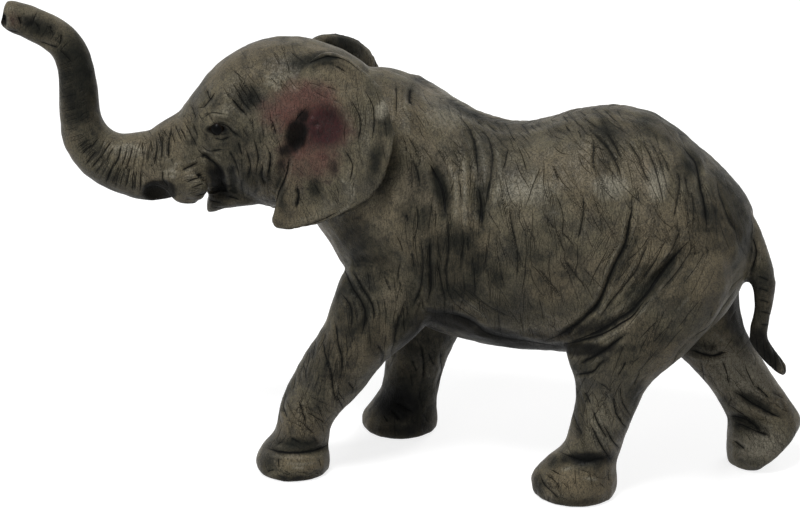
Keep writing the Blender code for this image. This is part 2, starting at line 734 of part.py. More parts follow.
def cut_nostrils(trunk, pivot):
    """Open the two nostrils at the trunk's tip, along its last stretch."""
    last = trunk_stations()[-1]
    angle = math.radians(last[-1])
    back = Vector((math.cos(angle), 0, math.sin(angle)))
    for side, word in ((LEFT, "left"), (RIGHT, "right")):
        mouth = Vector(last[:3]) + Vector((0, side * NOSTRIL_SPACING / 2, NOSTRIL_LIFT))
        start = mouth - back * CUT_OVERRUN
        end = mouth + back * NOSTRIL_DEPTH
        rod = rod_mesh(word + "_nostril", start, end, NOSTRIL_DIAMETER)
        combine(trunk, place_cutter(word + "_nostril", rod, pivot), "DIFFERENCE")


def make_head(pivot):
    """Make the head with its seats, and return the cutters for its place, each with its side."""
    rows = stations_of(
        HEAD_SHARES, Vector((0, 0, 0)), -HEAD_LENGTH, HEAD_WIDTH, HEAD_DEPTH, HEAD_DEPTH, HEAD_WIDTH,
    )
    swell = swell_of(HEAD_SWELL_SHARES, 0, -HEAD_LENGTH)
    head = place_piece("head", loft("head", rows, BODY_SIDES, swell=swell), SKIN, pivot)
    neck_seat = loft("neck_seat", rows, BODY_SIDES, JOINT_GAP, swell=swell)
    return [(MIDDLE, place_cutter("neck_seat", neck_seat, pivot))] + make_face(head, pivot)


def make_torso(sockets):
    """Make the two half shells of the body, cut where the other pieces enter."""
    cavity = place_cutter("torso_cavity", loft("torso_cavity", cavity_stations(), BODY_SIDES, steps=1))
    swell = swell_of(TORSO_SWELL_SHARES, RUMP_X, -TORSO_LENGTH)
    for side, word in ((LEFT, "left"), (RIGHT, "right")):
        name = "torso_" + word
        shell = place_piece(name, loft(name, torso_stations(), BODY_SIDES, swell=swell), SKIN)
        combine(shell, cavity, "DIFFERENCE")
        combine(shell, half_cutter(side, word), "INTERSECT")
        add_bosses(shell, side, word)
        for place, socket in sockets:
            if place in (side, MIDDLE):
                combine(shell, socket, "DIFFERENCE")
        fit_pins(shell, side, word)


def half_cutter(side, word):
    """The block that keeps one half of the body, up to its side of the seam."""
    near = side * JOINT_GAP / 2
    far = side * TORSO_WIDTH
    low = (-2 * TORSO_LENGTH, min(near, far), 0)
    high = (2 * TORSO_LENGTH, max(near, far), BELLY_HEIGHT + 2 * TORSO_DEPTH)
    return place_cutter(word + "_half", box_mesh(word + "_half", low, high))


def add_bosses(shell, side, word):
    """Stand the bosses on the inside of a half shell, from its wall to the seam."""
    for index, shares in enumerate(BOSS_PLACE_SHARES):
        seam = torso_point(*shares) + Vector((0, side * JOINT_GAP / 2, 0))
        wall = torso_point(*shares) + Vector((0, side * boss_reach(shares), 0))
        name = f"{word}_boss_{index}"
        combine(shell, place_cutter(name, rod_mesh(name, seam, wall, BOSS_DIAMETER)), "UNION")


def boss_reach(shares):
    """Distance from the seam to the middle of the wall at a boss."""
    place, height = shares
    rows = smooth_rows(torso_stations(), FINE_STEPS)
    x = RUMP_X - place * TORSO_LENGTH
    row = min(rows, key=lambda station: abs(station[0] - x))
    lift = (BELLY_HEIGHT + height * TORSO_DEPTH - row[2]) / row[3]
    edge = (abs(lift) * row[3] + BOSS_DIAMETER / 2) / row[3]
    return row[4] * math.sqrt(max(1 - edge ** 2, 0)) - SHELL_WALL / 2


def fit_pins(shell, side, word):
    """Pins stand on the left half, and the right half has the holes that they enter."""
    for index, shares in enumerate(BOSS_PLACE_SHARES):
        seam = torso_point(*shares)
        name = f"{word}_pin_{index}"
        if side == LEFT:
            root = seam + Vector((0, -PIN_LENGTH, 0))
            tip = seam + Vector((0, PIN_LENGTH, 0))
            combine(shell, place_cutter(name, rod_mesh(name, root, tip, PIN_DIAMETER)), "UNION")
        else:
            floor = seam + Vector((0, PIN_LENGTH + JOINT_GAP, 0))
            mouth = seam - Vector((0, CUT_OVERRUN, 0))
            hole = rod_mesh(name, mouth, floor, PIN_DIAMETER + 2 * JOINT_GAP)
            combine(shell, place_cutter(name, hole), "DIFFERENCE")


def main():
    """Build the whole figure."""
    pivot = make_neck_pivot()
    sockets = make_limbs() + make_head(pivot)
    make_torso(sockets)


main()
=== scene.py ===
"""Looks of the moulded elephant calf: a carved and painted skin, glossy eyes and a pale studio.

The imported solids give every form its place. Their outer surface is copied as one fine skin, in
which the folds, creases and nails are carved, and which is then parted again at the solids' seams.
"""

import logging
import math
from dataclasses import dataclass, field
from enum import Enum
from typing import ClassVar

import bmesh
import bpy
import numpy as np
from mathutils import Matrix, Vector
from mathutils.bvhtree import BVHTree


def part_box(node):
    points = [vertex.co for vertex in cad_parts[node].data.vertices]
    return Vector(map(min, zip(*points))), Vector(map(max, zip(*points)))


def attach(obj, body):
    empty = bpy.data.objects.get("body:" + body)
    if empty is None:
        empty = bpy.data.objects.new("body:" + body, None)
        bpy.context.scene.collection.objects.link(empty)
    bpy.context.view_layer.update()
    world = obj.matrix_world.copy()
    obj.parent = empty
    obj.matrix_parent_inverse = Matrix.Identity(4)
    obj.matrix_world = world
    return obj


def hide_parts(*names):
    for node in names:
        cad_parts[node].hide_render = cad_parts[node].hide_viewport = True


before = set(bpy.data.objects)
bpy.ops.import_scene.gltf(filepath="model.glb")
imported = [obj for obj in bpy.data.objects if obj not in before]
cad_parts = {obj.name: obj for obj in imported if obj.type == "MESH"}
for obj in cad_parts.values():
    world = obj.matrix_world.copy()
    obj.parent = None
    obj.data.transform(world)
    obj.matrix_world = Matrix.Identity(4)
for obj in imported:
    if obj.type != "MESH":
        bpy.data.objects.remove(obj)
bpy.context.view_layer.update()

LOG = logging.getLogger("elephant_calf")

MM = 0.001
FLOOR_DROP = -0.05 * MM
EYE_NAMES = ["left_eye", "right_eye"]
HEAD_TURN = math.radians(12.0)
NECK_PIVOT = (0.00132, 0.0, 0.06762)

SPLINE_STEPS = 4
LINE_REACH = 9.0
WOBBLE = 1.5
WOBBLE_CELL = 2.8 * MM

IRON_ROUNDS = 9
LABEL_ROUNDS = 6
SEAM_ROUNDS = 14
HOLLOW_ROUNDS = 6
HOLLOW_FULL = 0.07 * MM
RIM_GAP = 0.15 * MM

LID_REACH = 1.9
LID_TILT = -8.0
LID_LENGTH = 0.98
UPPER_LID = 0.44
LOWER_LID = 0.36
LID_OPENING = (0.82, 1.12)
LID_RIM = (1.4, 0.22)
LID_SHADE = (0.9, 0.45)
LID_THICKNESS = 0.14 * MM
EYE_SLOT_DEPTH = 0.9 * MM

LUMP_SIZE = 3.2 * MM
LUMP_HEIGHT = 0.40 * MM
PATCH_SIZE = 9.0 * MM
PATCH_EDGE = (0.42, 0.58)
WRINKLE_WIDTH = 0.045
CROSSING_SHARE = 0.55
NET_DEPTH = 0.035 * MM
NET_WASH = 0.10
# Painted shade on the undersides, dark wash with painted shade in the hollows, pale dust with
# painted highlight on the ridges.
UNDERSIDE_SHADE = 0.75
UNDERSIDE_LEAN = (0.30, 0.85)
HOLLOW_WASH_AND_SHADE = 0.55
RIDGE_DUST_AND_HIGHLIGHT = 0.30
WINE_COVER = 0.85
SMOOTH_PARTS = ("trunk",)

Pixel = tuple[float, float]
Path2 = tuple[Pixel, ...]
Place = tuple[float, float, float]
Rise = tuple[float, float, float]
Colour = tuple[float, float, float, float]


def smooth_step(low: float, high: float, value: np.ndarray) -> np.ndarray:
    """Rise smoothly from 0 where values are low to 1 where they are high."""
    share = np.clip((value - low) / (high - low), 0.0, 1.0)
    return share * share * (3.0 - 2.0 * share)


def bell(values: np.ndarray, middle: float, width: float) -> np.ndarray:
    """Map values to a bell curve, which is 1 in the middle."""
    return np.exp(-0.5 * ((values - middle) / width) ** 2)


def raise_to(values: np.ndarray, near: np.ndarray, amounts: np.ndarray) -> None:
    """Raise an array's values at some indexes to given amounts, where they are lower."""
    values[near] = np.maximum(values[near], amounts)


def placed(name: str, data: bpy.types.ID) -> bpy.types.Object:
    """Put a mesh, lamp or camera into the scene.

    Args:
        name: The object's name.
        data: What it shows.

    Returns:
        The object.
    """
    thing = bpy.data.objects.new(name, data)
    bpy.context.scene.collection.objects.link(thing)
    return thing


def rounded(path: Path2) -> np.ndarray:
    """Round a line with a spline through its points.

    Args:
        path: The line's points.

    Returns:
        The rounded line's points, one per row.
    """
    points = np.array(path, float)
    if len(points) < 3:
        return points
    ends = np.vstack((2 * points[0] - points[1], points, 2 * points[-1] - points[-2]))
    steps = np.linspace(0.0, 1.0, SPLINE_STEPS, endpoint=False)[:, None]
    runs = []
    for first, second, third, fourth in zip(ends, ends[1:], ends[2:], ends[3:]):
        slope_in = (third - first) / 2
        slope_out = (fourth - second) / 2
        runs.append(
            (2 * steps**3 - 3 * steps**2 + 1) * second
            + (steps**3 - 2 * steps**2 + steps) * slope_in
            + (3 * steps**2 - 2 * steps**3) * third
            + (steps**3 - steps**2) * slope_out
        )
    runs.append(points[-1:])
    return np.vstack(runs)


class LatticeNoise:
    """Smooth seeded noise in space, from 0 to 1, for many points at once."""

    def __init__(self, seed: int, size: int = 32) -> None:
        """Draw the lattice's values.

        Args:
            seed: Seed of the lattice.
            size: Number of cells after which the lattice repeats.
        """
        self.size = size
        self.values = np.random.default_rng(seed).random((size, size, size))

    def at(self, points: np.ndarray) -> np.ndarray:
        """Read the noise.

        Args:
            points: Places in lattice cells, one per row.

        Returns:
            The noise at each place.
        """
        base = np.floor(points).astype(int)
        part = points - base
        part = part * part * (3.0 - 2.0 * part)
        total = np.zeros(len(points))
        for corner in np.ndindex(2, 2, 2):
            cell = (base + corner) % self.size
            weight = np.ones(len(points))
            for axis in range(3):
                share = part[:, axis]
                weight *= share if corner[axis] else 1.0 - share
            total += weight * self.values[cell[:, 0], cell[:, 1], cell[:, 2]]
        return total

    def layered(self, points: np.ndarray, layers: int = 3) -> np.ndarray:
        """Add finer layers of the noise to a coarse one.

        Args:
            points: Places in lattice cells, one per row.
            layers: Number of layers, each twice as fine as the last.

        Returns:
            The layered noise, from 0 to 1.
        """
        total = np.zeros(len(points))
        weight = 1.0
        whole = 0.0
        for layer in range(layers):
            total += weight * self.at(points * 2.0**layer + 7.3 * layer)
            whole += weight
            weight *= 0.5
        return total / whole


@dataclass(frozen=True)
class PhotoView:
    """The camera, and where it shows a point of the calf."""

    azimuth: float = math.radians(12.0)
    elevation: float = math.radians(21.0)
    distance: float = 0.480
    target: Place = (-0.0008, -0.0096, 0.048)
    focal: float = 2385.0
    width: float = 800.0
    height: float = 513.0
    sensor: float = 36.0
    clip_start: float = 0.01
    clip_end: float = 20.0

    @property
    def back(self) -> np.ndarray:
        """Direction from the calf to the camera."""
        flat = math.cos(self.elevation)
        side, ahead = math.sin(self.azimuth) * flat, math.cos(self.azimuth) * flat
        return np.array((side, -ahead, math.sin(self.elevation)))

    @property
    def right(self) -> np.ndarray:
        """Direction of the picture's right."""
        return np.array((math.cos(self.azimuth), math.sin(self.azimuth), 0.0))

    @property
    def up(self) -> np.ndarray:
        """Direction of the picture's top."""
        return np.cross(self.back, self.right)

    @property
    def place(self) -> np.ndarray:
        """Where the camera stands."""
        return np.array(self.target) + self.back * self.distance

    def pixels(self, points: np.ndarray) -> np.ndarray:
        """Find where points show in the picture.

        Args:
            points: Places in metres, one per row.

        Returns:
            Their columns and rows in the picture.
        """
        ahead = points - self.place
        depth = -(ahead @ self.back)
        column = self.width / 2 + self.focal * (ahead @ self.right) / depth
        row = self.height / 2 - self.focal * (ahead @ self.up) / depth
        return np.column_stack((column, row))

    def facing(self, points: np.ndarray, normals: np.ndarray) -> np.ndarray:
        """Measure how squarely a surface faces the camera.

        Args:
            points: Places on the surface.
            normals: The surface's normals there.

        Returns:
            1 where it faces the camera, 0 where it is edge-on and -1 where it faces away.
        """
        toward = self.place - points
        toward /= np.linalg.norm(toward, axis=1)[:, None]
        return (toward * normals).sum(axis=1)

    def make_camera(self) -> bpy.types.Object:
        """Put the camera into the scene.

        Returns:
            The camera's object.
        """
        data = bpy.data.cameras.new("camera")
        data.sensor_width = self.sensor
        data.lens = self.focal * self.sensor / self.width
        data.clip_start = self.clip_start
        data.clip_end = self.clip_end
        camera = placed("camera", data)
        camera.location = Vector(self.place)
        camera.rotation_euler = Vector(self.back).to_track_quat("Z", "Y").to_euler()
        bpy.context.scene.camera = camera
        return camera


@dataclass(frozen=True)
class Cut:
    """A sculptor's cut: what one stroke does to the skin and its paint."""

    depth: float
    width: float
    line: float = 0.0
    lip: float = 0.0
    # Dark wash in the cut, with painted shade; pale dust on its lips, with painted highlight.
    wash_and_shade: float = 0.0
    dust_and_highlight: float = 0.0


class Stroke(Enum):
    """The cuts that the calf's skin shows, from deep folds to hairlines, streaks of painted
    highlight and smudges of painted shade.
    """

    FOLD = Cut(depth=0.62 * MM, width=3.8, line=1.2, lip=0.35, wash_and_shade=0.80, dust_and_highlight=0.22)
    FURROW = Cut(depth=0.36 * MM, width=2.6, line=0.80, lip=0.35, wash_and_shade=0.62, dust_and_highlight=0.20)
    CREASE = Cut(depth=0.22 * MM, width=1.8, line=0.50, lip=0.35, wash_and_shade=0.36, dust_and_highlight=0.16)
    CUT = Cut(depth=0.14 * MM, width=1.5, line=0.34, lip=0.30, wash_and_shade=0.22, dust_and_highlight=0.10)
    HAIRLINE = Cut(depth=0.07 * MM, width=1.4, line=0.20, lip=0.20, wash_and_shade=0.08, dust_and_highlight=0.05)
    # Raised ridge, paled with dust and painted highlight.
    RIDGE = Cut(depth=-0.26 * MM, width=3.0, dust_and_highlight=0.30)
    # Pale streak: painted highlight, partly dry-brushed paint.
    STREAK = Cut(depth=-0.05 * MM, width=1.7, dust_and_highlight=0.55)
    # Dark smudge, mostly painted shade.
    SMUDGE = Cut(depth=0.0, width=6.5, wash_and_shade=0.70)


@dataclass(frozen=True)
class Line:
    """A stroke along a line of picture points."""

    stroke: Stroke
    path: Path2
    strength: float = 1.0


def strokes(stroke: Stroke, *paths: tuple[float, ...], strength: float = 1.0) -> tuple[Line, ...]:
    """List strokes of one kind.

    Args:
        stroke: Their kind.
        *paths: The picture's columns and rows along each stroke, by turns.
        strength: How strong they are.

    Returns:
        The strokes.
    """
    pairs = (tuple(zip(path[::2], path[1::2])) for path in paths)
    return tuple(Line(stroke, pair, strength) for pair in pairs)


@dataclass(frozen=True)
class Mound:
    """An oval swelling, in millimetres, or a hollow, or a patch of paint without either; its paint
    includes painted shade and painted highlights.
    """

    at: Pixel
    radii: Pixel
    height: float = 0.0
    turn: float = 0.0
    # Dark wash, with painted shade.
    wash_and_shade: float = 0.0
    # Pale dust, with painted highlight.
    dust_and_highlight: float = 0.0
    blush: float = 0.0
    wine: float = 0.0
    # Near black, mostly painted deep shade.
    black_and_deep_shade: float = 0.0
    nail: float = 0.0
    edge: float = 1.0


# The dark and pale pigments also carry painted shade and painted highlights; the black one is
# mostly painted deep shade.
PIGMENTS = ("wash_and_shade", "dust_and_highlight", "blush", "wine", "black_and_deep_shade", "nail")


@dataclass(frozen=True)
class Swell:
    """A round swelling or hollow in space; its radius and height are in millimetres."""

    centre: Place
    radius: float
    height: float


@dataclass(frozen=True)
class Scratches:
    """A patch of small seeded cuts that lie mostly one way."""

    low: Pixel
    high: Pixel
    count: int
    angle: float
    spread: float = 11.0
    length: Pixel = (8.0, 24.0)
    stroke: Stroke = Stroke.HAIRLINE


@dataclass(frozen=True)
class Rings:
    """Seeded creases that run side by side from one line to another."""

    inner: tuple[float, ...]
    outer: tuple[float, ...]
    count: int
    stroke: Stroke
    trim: float = 0.30
    jitter: float = 0.35


class PixelIndex:
    """Finds quickly which of a part's vertices show near a place in the picture."""

    CELL = 12.0
    COLUMNS = 100

    def __init__(self, pixels: np.ndarray, members: np.ndarray) -> None:
        """Sort a part's vertices by their cell.

        Args:
            pixels: Every vertex's place in the picture.
            members: Indexes of the part's vertices.
        """
        cells = self.cell(pixels[members])
        keys = cells[:, 1] * self.COLUMNS + cells[:, 0]
        order = np.argsort(keys, kind="stable")
        self.keys = keys[order]
        self.members = members[order]

    def cell(self, pixels: np.ndarray) -> np.ndarray:
        """Find the column and row of the cell that each place in the picture lies in."""
        return np.clip(np.floor(pixels / self.CELL).astype(int), 0, self.COLUMNS - 1)

    def near(self, low: np.ndarray, high: np.ndarray) -> np.ndarray:
        """Collect the vertices in the cells that a box touches.

        Args:
            low: The box's lowest column and row.
            high: Its highest column and row.

        Returns:
            Indexes of the vertices.
        """
        first, last = self.cell(low), self.cell(high)
        runs = []
        for row in range(first[1], last[1] + 1):
            start = np.searchsorted(self.keys, row * self.COLUMNS + first[0], "left")
            end = np.searchsorted(self.keys, row * self.COLUMNS + last[0], "right")
            runs.append(self.members[start:end])
        return np.concatenate(runs)


class Sheet:
    """A mesh's vertices, normals and neighbours as arrays."""

    def __init__(self, mesh: bpy.types.Mesh) -> None:
        """Read the mesh.

        Args:
            mesh: The mesh whose vertices the arrays hold.
        """
        self.mesh = mesh
        self.count = len(mesh.vertices)
        self.points = np.empty(self.count * 3)
        mesh.vertices.foreach_get("co", self.points)
        self.points = self.points.reshape(-1, 3)
        ends = np.empty(len(mesh.edges) * 2, np.int32)
        mesh.edges.foreach_get("vertices", ends)
        ends = ends.reshape(-1, 2)
        self.from_end = np.concatenate((ends[:, 0], ends[:, 1]))
        self.to_end = np.concatenate((ends[:, 1], ends[:, 0]))
        self.degree = np.maximum(np.bincount(self.from_end, minlength=self.count), 1)
        self.normals = self.read_normals()

    def read_normals(self) -> np.ndarray:
        """Read the vertex normals of the mesh as it stands."""
        normals = np.empty(self.count * 3, np.float32)
        self.mesh.vertex_normals.foreach_get("vector", normals)
        return normals.reshape(-1, 3).astype(float)

    def write_points(self) -> None:
        """Give the mesh the points, and read its new normals."""
        self.mesh.vertices.foreach_set("co", self.points.ravel())
        self.mesh.update()
        self.normals = self.read_normals()

    def averaged(self, values: np.ndarray, rounds: int = 1) -> np.ndarray:
        """Average values over neighbouring vertices.

        Args:
            values: One value, or one row of values, for each vertex.
            rounds: How often to average.

        Returns:
            The averaged values.
        """
        result = values.astype(float)
        for _ in range(rounds):
            if result.ndim == 1:
                total = np.bincount(self.from_end, result[self.to_end], self.count)
                result = 0.5 * result + 0.5 * total / self.degree
            else:
                result = np.column_stack([self.averaged(column) for column in result.T])
        return result


class Skin:
    """The calf's whole outer skin, on which its parts are carved and painted."""

    SWELL = 0.30 * MM
    MERGE = 0.01 * MM
    SEAM_SHARE = (0.02, 0.5)
    # How squarely the skin faces the camera where relief and paint come in.
    FADE_FACING = (0.08, 0.34)
    COVER_FACING = (0.0, 0.12)
    COVER_LEAST = 0.4
    # A stroke's reach and lips, in its widths, and how it runs out at its ends.
    STROKE_REACH = 3.2
    STROKE_END = 0.2
    LINE_LEAST = 0.2
    DEPTH_LEAST = 0.25
    LIP_AWAY = 2.0
    LIP_WIDTH = 0.75
    PATCH_ROUNDNESS = 0.7
    # How seeded scratches and rings vary.
    SCRATCH_BEND = 9.0
    SCRATCH_STRENGTH = (0.30, 1.0)
    RING_SHIFT = 0.3
    RING_BEND = 0.06
    RING_STRENGTH = (0.45, 1.0)

    def __init__(self, nodes: dict[str, bpy.types.Object], voxel: float, view: PhotoView) -> None:
        """Copy the moulded parts' outer surface as one skin.

        Args:
            nodes: The moulded parts' solids by name.
            voxel: Size of the wrap's faces, which are halved once it is smooth.
            view: The camera that the strokes are drawn from.
        """
        self.names = sorted(set(nodes) - set(EYE_NAMES))
        self.view = view
        self.voxel = voxel
        self.object = self.wrap(nodes)
        self.sheet = Sheet(self.object.data)
        self.labels = self.label(nodes)
        self.settle()
        count = self.sheet.count
        self.groove = np.zeros(count)
        self.ridge = np.zeros(count)
        self.mass = np.zeros(count)
        self.paint = {name: np.zeros(count) for name in PIGMENTS}
        self.line_away = np.full(count, LINE_REACH)
        self.line_half = np.zeros(count)
        self.line_dark = np.zeros(count)
        self.pixels = np.zeros((count, 2))
        self.fade = np.zeros(count)
        self.cover = np.zeros(count)
        self.indexes: dict[str, PixelIndex] = {}

    def wrap(self, nodes: dict[str, bpy.types.Object]) -> bpy.types.Object:
        """Join swollen copies of the solids, wrap them in one even mesh and iron it smooth.

        Args:
            nodes: The solids by name.

        Returns:
            The wrapped mesh's object, which holds the outermost surface only.
        """
        whole = bmesh.new()
        for name in self.names + EYE_NAMES:
            whole.from_mesh(nodes[name].data)
        bmesh.ops.remove_doubles(whole, verts=whole.verts, dist=self.MERGE)
        whole.normal_update()
        moves = [vert.normal * self.SWELL for vert in whole.verts]
        for vert, move in zip(whole.verts, moves):
            vert.co += move
        mesh = bpy.data.meshes.new("skin")
        whole.to_mesh(mesh)
        whole.free()
        skin = placed("skin", mesh)
        remesh = skin.modifiers.new("wrap", "REMESH")
        remesh.mode = "VOXEL"
        remesh.voxel_size = self.voxel
        apply_modifiers(skin)
        skin = keep_outermost(skin)
        self.iron(Sheet(skin.data))
        finer = skin.modifiers.new("finer", "SUBSURF")
        finer.levels = 1
        finer.render_levels = 1
        apply_modifiers(skin)
        return skin

    def iron(self, sheet: Sheet) -> None:
        """Smooth out the solids' facets, keep the forms, and take back the swelling.

        Args:
            sheet: The wrapped mesh.
        """
        first = sheet.points
        eased = sheet.averaged(first, IRON_ROUNDS)
        sheet.points = eased + sheet.averaged(first - eased, IRON_ROUNDS)
        sheet.write_points()
        sheet.points -= sheet.averaged(sheet.normals, 2) * self.SWELL
        sheet.write_points()

    def label(self, nodes: dict[str, bpy.types.Object]) -> np.ndarray:
        """Find the solid that each vertex belongs to.

        Args:
            nodes: The solids by name.

        Returns:
            The index in names of each vertex's solid.
        """
        places: list[Vector] = []
        faces: list[tuple[int, ...]] = []
        owners: list[int] = []
        for name in self.names + EYE_NAMES:
            owner = self.names.index("head" if name in EYE_NAMES else name)
            start = len(places)
            data = nodes[name].data
            places.extend(vert.co.copy() for vert in data.vertices)
            faces.extend(tuple(start + key for key in face.vertices) for face in data.polygons)
            owners.extend(owner for _ in data.polygons)
        tree = BVHTree.FromPolygons(places, faces)
        nearest = [owners[tree.find_nearest(point)[2]] for point in self.sheet.points.tolist()]
        shares = np.eye(len(self.names))[nearest]
        return np.argmax(self.sheet.averaged(shares, LABEL_ROUNDS), axis=1)

    def settle(self) -> None:
        """Blend the skin over the seams."""
        sheet = self.sheet
        shares = np.eye(len(self.names))[self.labels]
        blurred = sheet.averaged(shares, SEAM_ROUNDS)
        mixed = 1.0 - blurred[np.arange(sheet.count), self.labels]
        at_seam = smooth_step(*self.SEAM_SHARE, mixed)
        eased = sheet.averaged(sheet.points, SEAM_ROUNDS)
        sheet.points += (eased - sheet.points) * at_seam[:, None]
        sheet.write_points()

    def members_mask(self, names: tuple[str, ...]) -> np.ndarray:
        """Mark some parts' vertices with 1 and all others with 0, softened where they meet."""
        wanted = [self.names.index(name) for name in names]
        return self.sheet.averaged(np.isin(self.labels, wanted).astype(float), LABEL_ROUNDS)

    def members(self, name: str) -> np.ndarray:
        """Collect the indexes of a part's vertices."""
        return np.flatnonzero(self.labels == self.names.index(name))

    def look_at(self, name: str, mirror: "Mirror | None" = None) -> None:
        """Place a part's vertices in the picture, so that strokes find them.

        Args:
            name: The part's name.
            mirror: The plane that turns the far side's surface to the near side, if any.
        """
        own = self.members(name)
        points = self.sheet.points[own]
        normals = self.sheet.normals[own]
        if mirror is not None:
            points, normals = mirror.turned(points, normals)
        self.pixels[own] = self.view.pixels(points)
        facing = np.abs(self.view.facing(points, normals))
        self.fade[own] = smooth_step(*self.FADE_FACING, facing)
        shown = smooth_step(*self.COVER_FACING, facing)
        self.cover[own] = self.COVER_LEAST + (1.0 - self.COVER_LEAST) * shown
        self.pixels[own] += self.wobble(points)
        self.indexes[name] = PixelIndex(self.pixels, own)

    def wobble(self, points: np.ndarray) -> np.ndarray:
        """Make drawn lines waver as a hand-cut line does.

        Args:
            points: Places on the skin.

        Returns:
            How far each place moves in the picture.
        """
        cells = points / WOBBLE_CELL
        across = LatticeNoise(11).layered(cells, 2)
        along = LatticeNoise(12).layered(cells, 2)
        return (np.column_stack((across, along)) - 0.5) * WOBBLE

    def cut(self, name: str, line: Line) -> None:
        """Cut one stroke into a part.

        Args:
            name: The part's name.
            line: The stroke and its path.
        """
        tool = line.stroke.value
        path = rounded(line.path)
        reach = self.STROKE_REACH * tool.width
        near = self.indexes[name].near(path.min(axis=0) - reach, path.max(axis=0) + reach)
        if not len(near):
            return
        signed, along = distance_to(self.pixels[near], path)
        keep = np.abs(signed) < reach
        near = near[keep]
        signed = signed[keep]
        along = along[keep]
        ends = smooth_step(0.0, self.STROKE_END, along)
        ends *= smooth_step(0.0, self.STROKE_END, 1.0 - along)
        if tool.line:
            half = tool.line * (self.LINE_LEAST + (1.0 - self.LINE_LEAST) * ends)
            self.draw(near, signed, half, line.strength)
        away = np.abs(signed) / tool.width
        weight = line.strength * self.fade[near]
        weight = weight * (self.DEPTH_LEAST + (1.0 - self.DEPTH_LEAST) * ends)
        core = bell(away, 0.0, 1.0) * weight
        sides = bell(away, self.LIP_AWAY, self.LIP_WIDTH) * weight
        if tool.depth >= 0:
            raise_to(self.groove, near, tool.depth * core)
            raise_to(self.ridge, near, tool.depth * tool.lip * sides)
            dust_and_highlight_weight = sides
        else:
            raise_to(self.ridge, near, -tool.depth * core)
            dust_and_highlight_weight = core
        # Dark wash with painted shade in the cut; pale dust with painted highlight on its lips or
        # ridge.
        raise_to(self.paint["wash_and_shade"], near, tool.wash_and_shade * core)
        raise_to(self.paint["dust_and_highlight"], near, tool.dust_and_highlight * dust_and_highlight_weight)

    def draw(self, near: np.ndarray, signed: np.ndarray, half: np.ndarray, strength: float) -> None:
        """Note the dark line at the bottom of a cut, where it is the nearest one.

        Args:
            near: Indexes of the vertices about the line.
            signed: Their distances from it, less than nothing on its right.
            half: Half the line's width at each vertex.
            strength: How dark the line is.
        """
        closer = np.abs(signed) - half < np.abs(self.line_away[near]) - self.line_half[near]
        near = near[closer]
        self.line_away[near] = signed[closer]
        self.line_half[near] = half[closer]
        self.line_dark[near] = strength * self.cover[near]

    def press(self, name: str, mound: Mound) -> None:
        """Raise or press in one oval of a part.

        Args:
            name: The part's name.
            mound: The oval.
        """
        at = np.array(mound.at)
        reach = max(mound.radii)
        near = self.indexes[name].near(at - reach, at + reach)
        if not len(near):
            return
        turn = math.radians(mound.turn)
        offset = self.pixels[near] - at
        along = offset[:, 0] * math.cos(turn) + offset[:, 1] * math.sin(turn)
        across = offset[:, 1] * math.cos(turn) - offset[:, 0] * math.sin(turn)
        away = np.hypot(along / mound.radii[0], across / mound.radii[1])
        keep = away < 1.0
        near = near[keep]
        dome = (1.0 - away[keep] ** 2) ** 2
        self.mass[near] += mound.height * MM * dome * self.fade[near]
        cover = np.clip(dome**self.PATCH_ROUNDNESS * mound.edge, 0.0, 1.0) * self.cover[near]
        for pigment in PIGMENTS:
            amount = getattr(mound, pigment)
            if amount:
                raise_to(self.paint[pigment], near, amount * cover)

    def open_eye(self, eye: "Eye") -> None:
        """Part the lids over an eye.

        Args:
            eye: The eye.
        """
        own = self.members("head")
        centre, radius = eye.ball()
        ahead, up, out = eye.axes()
        offset = self.sheet.points[own] - centre
        near = np.linalg.norm(offset, axis=1) < LID_REACH * radius
        near &= offset @ out > 0
        own = own[near]
        offset = offset[near]
        tilt = math.radians(LID_TILT)
        along = offset @ ahead * math.cos(tilt) + offset @ up * math.sin(tilt)
        rise = offset @ up * math.cos(tilt) - offset @ ahead * math.sin(tilt)
        height = np.where(rise > 0, UPPER_LID, LOWER_LID) * radius
        edge = np.hypot(along / (LID_LENGTH * radius), rise / height)
        opening = 1.0 - smooth_step(*LID_OPENING, edge)
        self.mass[own] += LID_THICKNESS * bell(edge, *LID_RIM) - EYE_SLOT_DEPTH * opening
        # Painted shade: a dark ring round the deep-set eye.
        raise_to(self.paint["black_and_deep_shade"], own, bell(edge, *LID_SHADE))

    def swell(self, name: str, swell: Swell) -> None:
        """Raise or press in a part about a place in space.

        Args:
            name: The part's name.
            swell: The swelling.
        """
        own = self.members(name)
        away = np.linalg.norm(self.sheet.points[own] - np.array(swell.centre), axis=1)
        away /= swell.radius * MM
        near = own[away < 1.0]
        self.mass[near] += swell.height * MM * (1.0 - away[away < 1.0] ** 2) ** 2

    def scratch(self, name: str, patch: Scratches) -> None:
        """Cut a patch of small seeded strokes into a part.

        Args:
            name: The part's name.
            patch: Where they lie, how many there are and which way they run.
        """
        seed = [int(value) for value in (*patch.low, *patch.high, patch.count)]
        dice = np.random.default_rng(seed)
        starts = dice.uniform(patch.low, patch.high, (patch.count, 2))
        angles = np.radians(dice.normal(patch.angle, patch.spread, patch.count))
        lengths = dice.uniform(*patch.length, patch.count)
        bends = np.radians(dice.normal(0.0, self.SCRATCH_BEND, patch.count))
        strengths = dice.uniform(*self.SCRATCH_STRENGTH, patch.count)
        for start, angle, length, bend, strength in zip(starts, angles, lengths, bends, strengths):
            middle = start + length / 2 * np.array((math.cos(angle), math.sin(angle)))
            last = angle + bend
            end = middle + length / 2 * np.array((math.cos(last), math.sin(last)))
            path = (tuple(start), tuple(middle), tuple(end))
            self.cut(name, Line(patch.stroke, path, strength))

